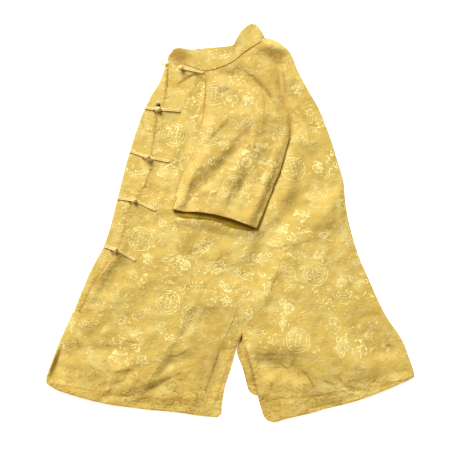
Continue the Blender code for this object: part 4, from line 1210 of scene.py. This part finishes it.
def brocade(name):
    """Silk damask: satin figure on a duller ground, with a weave, painted sheen on the figure and
    painted shade along turned edges, seams and creases.
    """
    g = Graph(name)
    place = g.node("TexCoord").outputs["Object"]
    x, y = g.parts(place)
    # Between the figures run thin broken scrolls
    scrolls = g.ramp(g.math("ABSOLUTE", g.noise(place, 52.0, 1.0) - 0.5), 0.026, 0.01)
    mask = figure_mask(g) + scrolls * g.ramp(g.noise(place, 115.0), 0.49, 0.56) * 0.75
    edge, hem, seam, strength = (
        g.stored(name) for name in ("from_edge", "from_hem", "from_seam", "figure_strength"))
    cloudy = g.noise(place, 6.5, 2.0)
    patchy = g.noise(place, 18.0, 4.0, 0.65)
    slubs = g.noise(g.vector("MULTIPLY", place, (14.0, 520.0, 1.0)).outputs[0], 1.0, 2.0)
    # Painted sheen: the figure lighter than the ground by a random share, darker near the hems
    sheen_gain = g.ramp(cloudy, 0.32, 0.58, 0.3, 1.0) * strength - g.ramp(hem, 70.0, 10.0, 0.0, 0.7)
    figure = mask * sheen_gain
    ground = g.mix(g.ramp(patchy, 0.3, 0.7), GROUND_DARK, GROUND_LIGHT)
    ground = g.mix(g.ramp(slubs, 0.56, 0.72, 0.0, 0.16), ground, FIGURE_LIGHT)
    ground = g.mix(g.ramp(g.noise(place, 42.0, 1.0), 0.52, 0.66, 0.0, 0.25), ground, FIGURE_LIGHT)
    shown = g.mix(g.ramp(figure, 0.0, 0.85), ground, FIGURE_LIGHT)
    shown = g.mix(g.ramp(figure, 0.0, -0.8, 0.0, 0.6), shown, FIGURE_SHADE)
    # Painted shade, warm, at the turned edges and beside the seams
    shown = g.mix(g.ramp(edge, 5.5, 2.5) * 0.2, shown, WARM_SHADE)
    shown = g.mix(g.ramp(seam, 9.0, 0.0, 0.0, 0.5) * g.ramp(patchy, 0.4, 0.6), shown, WARM_SHADE)
    # Painted shade in brownish patches, on the collar's inside also soiling
    for px, py, width, height, much in SHADE_AND_STAIN_PATCHES:
        rel = g.vector("MULTIPLY_ADD", place, (1 / (width * MM), 1 / (height * MM), 0.0),
                       (-px / width, -(py - PLAN_MIDDLE[1]) / height, 0.0))
        round_about = g.math("ADD", g.distance(rel.outputs[0]), patchy)
        shown = g.mix(g.ramp(round_about, 1.7, 0.9, 0.0, much), shown, SHADE_AND_STAIN)
    # Painted shade in thin dark lines along creases and edges that lie on the cloth
    side, dark, shade_tone = (g.stored(name) for name in ("crease_side", "crease_shade", "shade_tone"))
    line = g.ramp(g.math("ABSOLUTE", side), 1.6, 0.1) * dark
    shown = g.mix(line * g.ramp(g.noise(place, 90.0), 0.35, 0.55, 0.45, 1.0), shown, CREASE_SHADE)
    # Painted shade in a narrow band along the turned edges
    shown = g.mix(g.ramp(edge, 2.6, 0.8, 0.0, 0.35), shown, SHADE_AND_STAIN)
    # Painted shade over the sleeve, cut on another grain, and darkest on its inside past the cuff
    shown = g.mix(shade_tone, shown, SHADE_AND_STAIN)
    g.shade({"Base Color": g.mix(g.ramp(shade_tone, 0.9, 1.3), shown, INSIDE_SHADE),
             "Roughness": g.ramp(mask, 0.0, 1.0, 0.65, 0.48), "Specular IOR Level": 0.18,
             "Sheen Weight": 0.07, "Sheen Roughness": 0.4, "Sheen Tint": srgb(255, 230, 150)})
    twill = g.math("SINE", x * 9000.0 + y * 15000.0)
    floats = g.math("SINE", y * 14000.0 - x * 2500.0)
    weave = twill + mask * (floats - twill)
    relief = g.node("Bump", {"Height": mask, "Strength": 1.0, "Distance": 0.0004})
    woven = g.node("Bump", {"Height": weave, "Strength": 0.25, "Distance": 0.00004,
                            "Normal": relief.outputs[0]})
    broad = g.noise(place, 20.0, 3.0, 0.55)
    sharp = g.math("ABSOLUTE", g.noise(place, 31.0, 2.0) - 0.5)
    fine = g.noise(place, 95.0, 3.0, 0.6)
    pucker = g.noise(place, 170.0, 1.0) * g.ramp(edge, 14.0, 2.0)
    creased = g.node("Bump", {"Height": broad * 1.0 + sharp * 1.0 + fine * 0.8 + pucker * 1.2,
                              "Strength": 1.0, "Distance": 0.0016,
                              "Normal": woven.outputs[0]})
    g.shade({"Normal": creased.outputs[0]})
    return g.material


def cord_silk():
    """Rolled bias silk: a fine slanting thread, with painted highlight and shade: paler where its
    bumps rise and darker where they sink.
    """
    g = Graph("cord silk")
    place = g.node("TexCoord").outputs["Object"]
    x, y = g.parts(place)
    # Painted highlight and shade: one noise makes the colour paler where it raises the bump
    shade_tone = g.noise(place, 300.0, 3.0)
    g.shade({"Base Color": g.mix(shade_tone, srgb(206, 172, 92), srgb(236, 214, 150)),
             "Roughness": 0.4, "Sheen Weight": 0.15})
    thread = g.math("SINE", x * 9000.0 + y * 9000.0)
    bump = g.node("Bump", {"Height": thread + shade_tone * 2.0, "Strength": 0.3, "Distance": 0.0001})
    g.shade({"Normal": bump.outputs[0]})
    return g.material


# Each piece of cloth: its upper and its lower layer, the lines that join them, its gap to its
# neighbours, its wall, its woven figures, its cut as width and length, its area, and how much
# painted shade it gets, for cloth cut on another grain takes the light in another way
CLOTH_COLUMNS = ("name", "upper", "lower", "folds", "gap", "wall", "figures", "panels", "flat",
                 "area", "shade_tone", "rests_on")
SLEEVE_FOLDS = ("sleeve front", "sleeve back")
CLOTHS = (
    ("front_left", ("front left", body_with_seams, NEAR_STEP),
     ("front left under", far_body, FAR_STEP), ("lower fold",), SEAM_GAP, WALL,
     "front", ("front left",), (0.37, 0.64), 0.138, 0, ["front_right_cloth"]),
    ("front_right", ("underlap", underlap, NEAR_STEP * 1.5),
     ("front right", far_body, FAR_STEP), ("front fold",), SEAM_GAP, WALL,
     "far", ("front right", "underlap"), (0.36, 0.60), 0.163, 0, ["sleeve_right_cloth", "floor"]),
    ("back", ("back near", body_with_seams, NEAR_STEP),
     ("back far", far_body, FAR_STEP), ("back fold",), SEAM_GAP, WALL,
     "back", ("back near",), (0.62, 0.69), 0.22, 0, ["sleeve_right_cloth", "floor"]),
    ("sleeve_left", ("sleeve top", sleeve_top, NEAR_STEP),
     ("sleeve under", sleeve_under, NEAR_STEP * 2), SLEEVE_FOLDS, SEAM_GAP, WALL,
     "sleeve", ("sleeve top",), (0.36, 0.34), 0.071, 0.16, ["front_left_cloth", "back_cloth"]),
    ("sleeve_right", ("sleeve under", floor_sleeve_under, FAR_STEP),
     ("sleeve top", floor_sleeve_top, FAR_STEP), SLEEVE_FOLDS, SEAM_GAP, WALL,
     "far", ("sleeve top",), (0.36, 0.34), 0.067, 0.16, ["floor"]),
    ("collar", ("collar near", collar_near, NEAR_STEP),
     ("collar far", collar_far, NEAR_STEP * 2), ("collar fold",), COLLAR_GAP, COLLAR_WALL,
     "far", ("collar far",), (0.34, 0.06), 0.0113, 0, ["back_cloth", "floor"]),
)


def sewn(cloth):
    """The middle surface of one piece of cloth."""
    made = Cloth()
    upper = made.layer(*cloth["upper"], gap=cloth["gap"])
    lower = made.layer(*cloth["lower"], up=False, gap=cloth["gap"])
    for name in cloth["folds"]:
        made.fold(upper, lower, name)
    return made


def make_floor():
    g = Graph("paper floor")
    g.shade({"Base Color": (FLOOR_GREY, FLOOR_GREY, FLOOR_GREY, 1), "Roughness": 0.9,
             "Specular IOR Level": 0.1, "Emission Color": (1, 1, 1, 1),
             "Emission Strength": FLOOR_GLOW})
    mesh = bpy.data.meshes.new("floor")
    corners = [(x * FLOOR_HALF, y * FLOOR_HALF, FLOOR_LEVEL)
               for x, y in ((-1, -1), (1, -1), (1, 1), (-1, 1))]
    mesh.from_pydata(corners, [], [(0, 1, 2, 3)])
    mesh.materials.append(g.material)
    made = bpy.data.objects.new("floor", mesh)
    bpy.context.scene.collection.objects.link(made)


def make_cloths():
    materials = {"brocade": brocade("brocade"), "collar_brocade": brocade("collar brocade")}
    for seed, row in enumerate(CLOTHS, 1):
        cloth = dict(zip(CLOTH_COLUMNS, row))
        name = cloth["name"]
        slot = "collar_brocade" if name == "collar" else "brocade"
        points, faces = sewn(cloth).shell(cloth["wall"])
        made = add_object(f"{name}_cloth", points, faces, materials[slot], slot, name)
        mark_figures(made, scatter_figures(cloth["figures"], cloth["panels"], seed))
        mark_edges(made, cloth["shade_tone"])
        mark_crease_shades(made, cloth["figures"])


def circle(centre, radius, up, side, sides):
    return [centre + radius * (math.cos(a) * up + math.sin(a) * side)
            for a in np.linspace(0, math.tau, sides, endpoint=False)]


def bands(rings, sides, closed=False):
    """The faces between rings of points and the next ones, and to the first if it is closed."""
    faces = []
    for k in range(rings if closed else rings - 1):
        n = (k + 1) % rings
        for i in range(sides):
            j = (i + 1) % sides
            faces.append((k * sides + i, k * sides + j, n * sides + j, n * sides + i))
    return faces


def tube(path, radius, sides=10):
    """(points, faces) of a round cord along x, y, z rows, with rounded ends."""
    path = np.asarray(path, float)
    along = unit(np.gradient(path, axis=0))
    up = np.cross(along[0], (0.3, 0.2, 1.0))
    rings = []
    radii = np.full(len(path), float(radius))
    radii[:2] = radius * 0.35, radius * 0.8
    radii = np.minimum(radii, radii[::-1])
    for p, t, r in zip(path, along, radii):
        up = up - t * (up @ t)
        up /= np.linalg.norm(up)
        rings += circle(p, r, up, np.cross(t, up), sides)
    faces = [tuple(range(sides))[::-1], tuple(range(len(rings) - sides, len(rings)))]
    return np.array(rings), faces + bands(len(path), sides)


def joined(shapes):
    """(points, faces) of several shapes in one mesh."""
    points, faces, start = [], [], 0
    for p, f in shapes:
        points.append(p)
        faces += [tuple(i + start for i in face) for face in f]
        start += len(p)
    return np.vstack(points), faces


def plaited_ball(centre, radius, strand):
    """A button knot: one strand that winds over and under itself all round a ball."""
    across, bights = 3, 4
    path = []
    for t in np.linspace(0, math.tau, KNOT_POINTS, endpoint=False):
        tilt = KNOT_TILT * math.sin(bights * t)
        reach = radius - strand + KNOT_WEAVE * strand * math.cos(2 * bights * across * t / 3)
        path.append((centre[0] + reach * math.cos(tilt) * math.cos(across * t),
                     centre[1] + reach * math.cos(tilt) * math.sin(across * t),
                     centre[2] + KNOT_SQUASH * reach * math.sin(tilt)))
    return closed_tube(np.array(path), strand)


def closed_tube(path, radius, sides=8):
    along = unit(np.roll(path, -1, 0) - np.roll(path, 1, 0))
    middle = path.mean(0)
    rings = []
    for p, t in zip(path, along):
        up = p - middle
        up = up - t * (up @ t)
        up /= np.linalg.norm(up)
        rings += circle(p, radius, up, np.cross(t, up), sides)
    return np.array(rings), bands(len(path), sides, closed=True)


def ball(centre, radius, columns=16, rows=10):
    points = [(0, 0, -radius), (0, 0, radius)]
    for k in range(1, rows):
        tilt = math.pi * k / rows
        points += [(radius * math.sin(tilt) * math.cos(math.tau * i / columns),
                    radius * math.sin(tilt) * math.sin(math.tau * i / columns),
                    -radius * math.cos(tilt)) for i in range(columns)]
    faces = []
    last = 2 + (rows - 2) * columns
    for i in range(columns):
        j = (i + 1) % columns
        faces += [(0, 2 + j, 2 + i), (1, last + i, last + j)]
        for k in range(rows - 2):
            low = 2 + k * columns
            faces.append((low + i, low + j, low + columns + j, low + columns + i))
    return np.array(points) + centre, faces


def on(height, places, above):
    """Rows of x, y, z for the places, that far above the outer face of a layer of cloth."""
    places = np.array(places, float).reshape(-1, 2)
    return np.column_stack([places, height(places) + WALL / 2 + above])


def beside(path, away):
    """A path moved sideways in the plan."""
    along = np.gradient(path, axis=0)
    return path + unit(np.stack([-along[:, 1], along[:, 0], np.zeros(len(path))], axis=1)) * away


def cord(rows, step=CORD_STEP, radius=CORD_RADIUS):
    """(points, faces) of a cord on the smooth curve through rows of x, y, z."""
    return tube(spaced(curve_through(rows), step), radius)


def spot(frog, key):
    return np.array((frog[f"{key}_x"], frog[f"{key}_y"]), float)


def directions(start, end):
    """The direction in the plan from one place to another, and the one to its left."""
    toward = (end - start) / np.linalg.norm(end - start)
    return toward, np.array((-toward[1], toward[0]))


def add_cord(node, shape, silk):
    add_object(f"{node}_cord", *shape, silk, "cord", node)


def loop_height():
    return 2 * CORD_RADIUS + SEAM_GAP


def knot_height():
    reach = KNOT_RADIUS + SEAM_GAP + CORD_RADIUS
    return loop_height() + math.sqrt(reach**2 - LOOP_RADIUS**2)


def frog_knot(number, frog, silk):
    """Two cords sewn down side by side from the tail, which meet in a plaited button knot."""
    knot, tail = spot(frog, "knot"), spot(frog, "tail")
    run = on(body_with_seams, [tail + (knot - tail) * t for t in np.linspace(0, 1, 16)],
             CORD_RADIUS)
    level = run[-3:, 2].max()
    run[-3:, 2] = level
    middle = np.array((*knot, level + knot_height()))
    neck = np.array([(*knot, level), (*knot, level + 2), (*knot, middle[2])])
    shapes = [cord(np.vstack([beside(run, k * CORD_SPREAD)[:-1], neck + (0.5 * k, 0.5 * k, 0)]))
              for k in (-1, 1)]
    shapes += [ball(middle, KNOT_RADIUS - KNOT_CORE),
               plaited_ball(middle, KNOT_RADIUS, STRAND_RADIUS)]
    add_cord(f"frog_knot_{number}", joined(shapes), silk)


def frog_loop(number, frog, silk):
    """One cord doubled back on itself: its two ends lie on the right front, and its bend goes
    round the neck of the knot."""
    knot, tail = spot(frog, "knot"), spot(frog, "loop")
    toward, across = directions(knot, tail)
    level = on(body_with_seams, [knot + (spot(frog, "tail") - knot) * t for t in (0, 0.2)],
               CORD_RADIUS)[:, 2].max()
    high = level + loop_height()
    away = np.linspace(np.linalg.norm(tail - knot), LOOP_RADIUS + LOOP_LEAD, 12)
    path = on(underlap, [knot + toward * d for d in away], CORD_RADIUS)
    path[:, 2] += smooth((LOOP_RADIUS + LOOP_RISE - away) / LOOP_RISE_REACH) * (
        high - path[:, 2])
    turn = np.linspace(LOOP_MOUTH, math.tau - LOOP_MOUTH, 16)
    bend = [(*(knot + LOOP_RADIUS * (math.cos(a) * toward + math.sin(a) * across)), high)
            for a in turn]
    rows = np.vstack([beside(path, -CORD_SPREAD), bend, beside(path, CORD_SPREAD)[::-1]])
    add_cord(f"frog_loop_{number}", cord(rows), silk)


def open_loop(number, frog, silk):
    """The undone loop, which sticks out past the folded edge of the right front."""
    tail = spot(frog, "loop")
    toward, across = directions(tail, np.array(OPEN_LOOP_TIP, float))
    level = on(underlap, tail, CORD_RADIUS)[0, 2]
    rows = [(*(tail + toward * along + across * away), level) for along, away in OPEN_LOOP]
    add_cord(f"frog_loop_{number}", cord(rows, 1.0, CORD_RADIUS * 0.9), silk)


def press_stud(metal):
    """The dark stud that shows at the opening beside the second knot."""
    centre = on(underlap, STUD, 0)[0]
    plates = [disc(centre, *plate) for plate in ((3.8, 0.1, 0.7), (2.7, 0.7, 1.5))]
    add_object("press_stud", *joined(plates), metal, None, None)


def disc(centre, radius, low, high, sides=24, bevel=0.25):
    """(points, faces) of a round plate with a bevelled upper rim."""
    rings = ((radius, low), (radius, high - bevel), (radius - bevel, high))
    points = [(r * math.cos(a), r * math.sin(a), z) for r, z in rings
              for a in np.linspace(0, math.tau, sides, endpoint=False)]
    faces = [tuple(range(sides))[::-1], tuple(range(2 * sides, 3 * sides))]
    return np.array(points) + centre, faces + bands(len(rings), sides)


def dark_metal():
    g = Graph("dark metal")
    g.shade({"Base Color": (0.015, 0.012, 0.01, 1), "Roughness": 0.45})
    return g.material


def make_frogs():
    silk = cord_silk()
    for number, row in enumerate(FROGS, 1):
        frog = dict(zip(FROG_COLUMNS, row))
        frog_knot(number, frog, silk)
        (open_loop if number == 1 else frog_loop)(number, frog, silk)
    press_stud(dark_metal())


def add_light(name, place, size, power, colour):
    lamp = bpy.data.lights.new(name, "AREA")
    lamp.shape = "SQUARE"
    lamp.size = size
    lamp.energy = power
    lamp.color = colour
    made = bpy.data.objects.new(name, lamp)
    made.location = place
    made.rotation_euler = (-Vector(place)).to_track_quat("-Z", "Y").to_euler()
    made.visible_camera = False
    bpy.context.scene.collection.objects.link(made)


def make_stage():
    scene = bpy.context.scene
    make_floor()
    for light in LIGHTS:
        add_light(*light)
    world = bpy.data.worlds.new("studio")
    world.use_nodes = True
    background = world.node_tree.nodes["Background"]
    background.inputs["Color"].default_value = WORLD_COLOUR
    background.inputs["Strength"].default_value = WORLD_STRENGTH
    scene.world = world
    scene.view_settings.view_transform = "Standard"
    camera = bpy.data.cameras.new("camera")
    camera.lens = LENS
    camera.sensor_width = SENSOR
    made = bpy.data.objects.new("camera", camera)
    away = PICTURE_WIDTH * LENS / SENSOR
    made.location = Vector((*PICTURE_CENTRE, away)) * MM
    scene.collection.objects.link(made)
    scene.camera = made


make_stage()
make_cloths()
make_frogs()
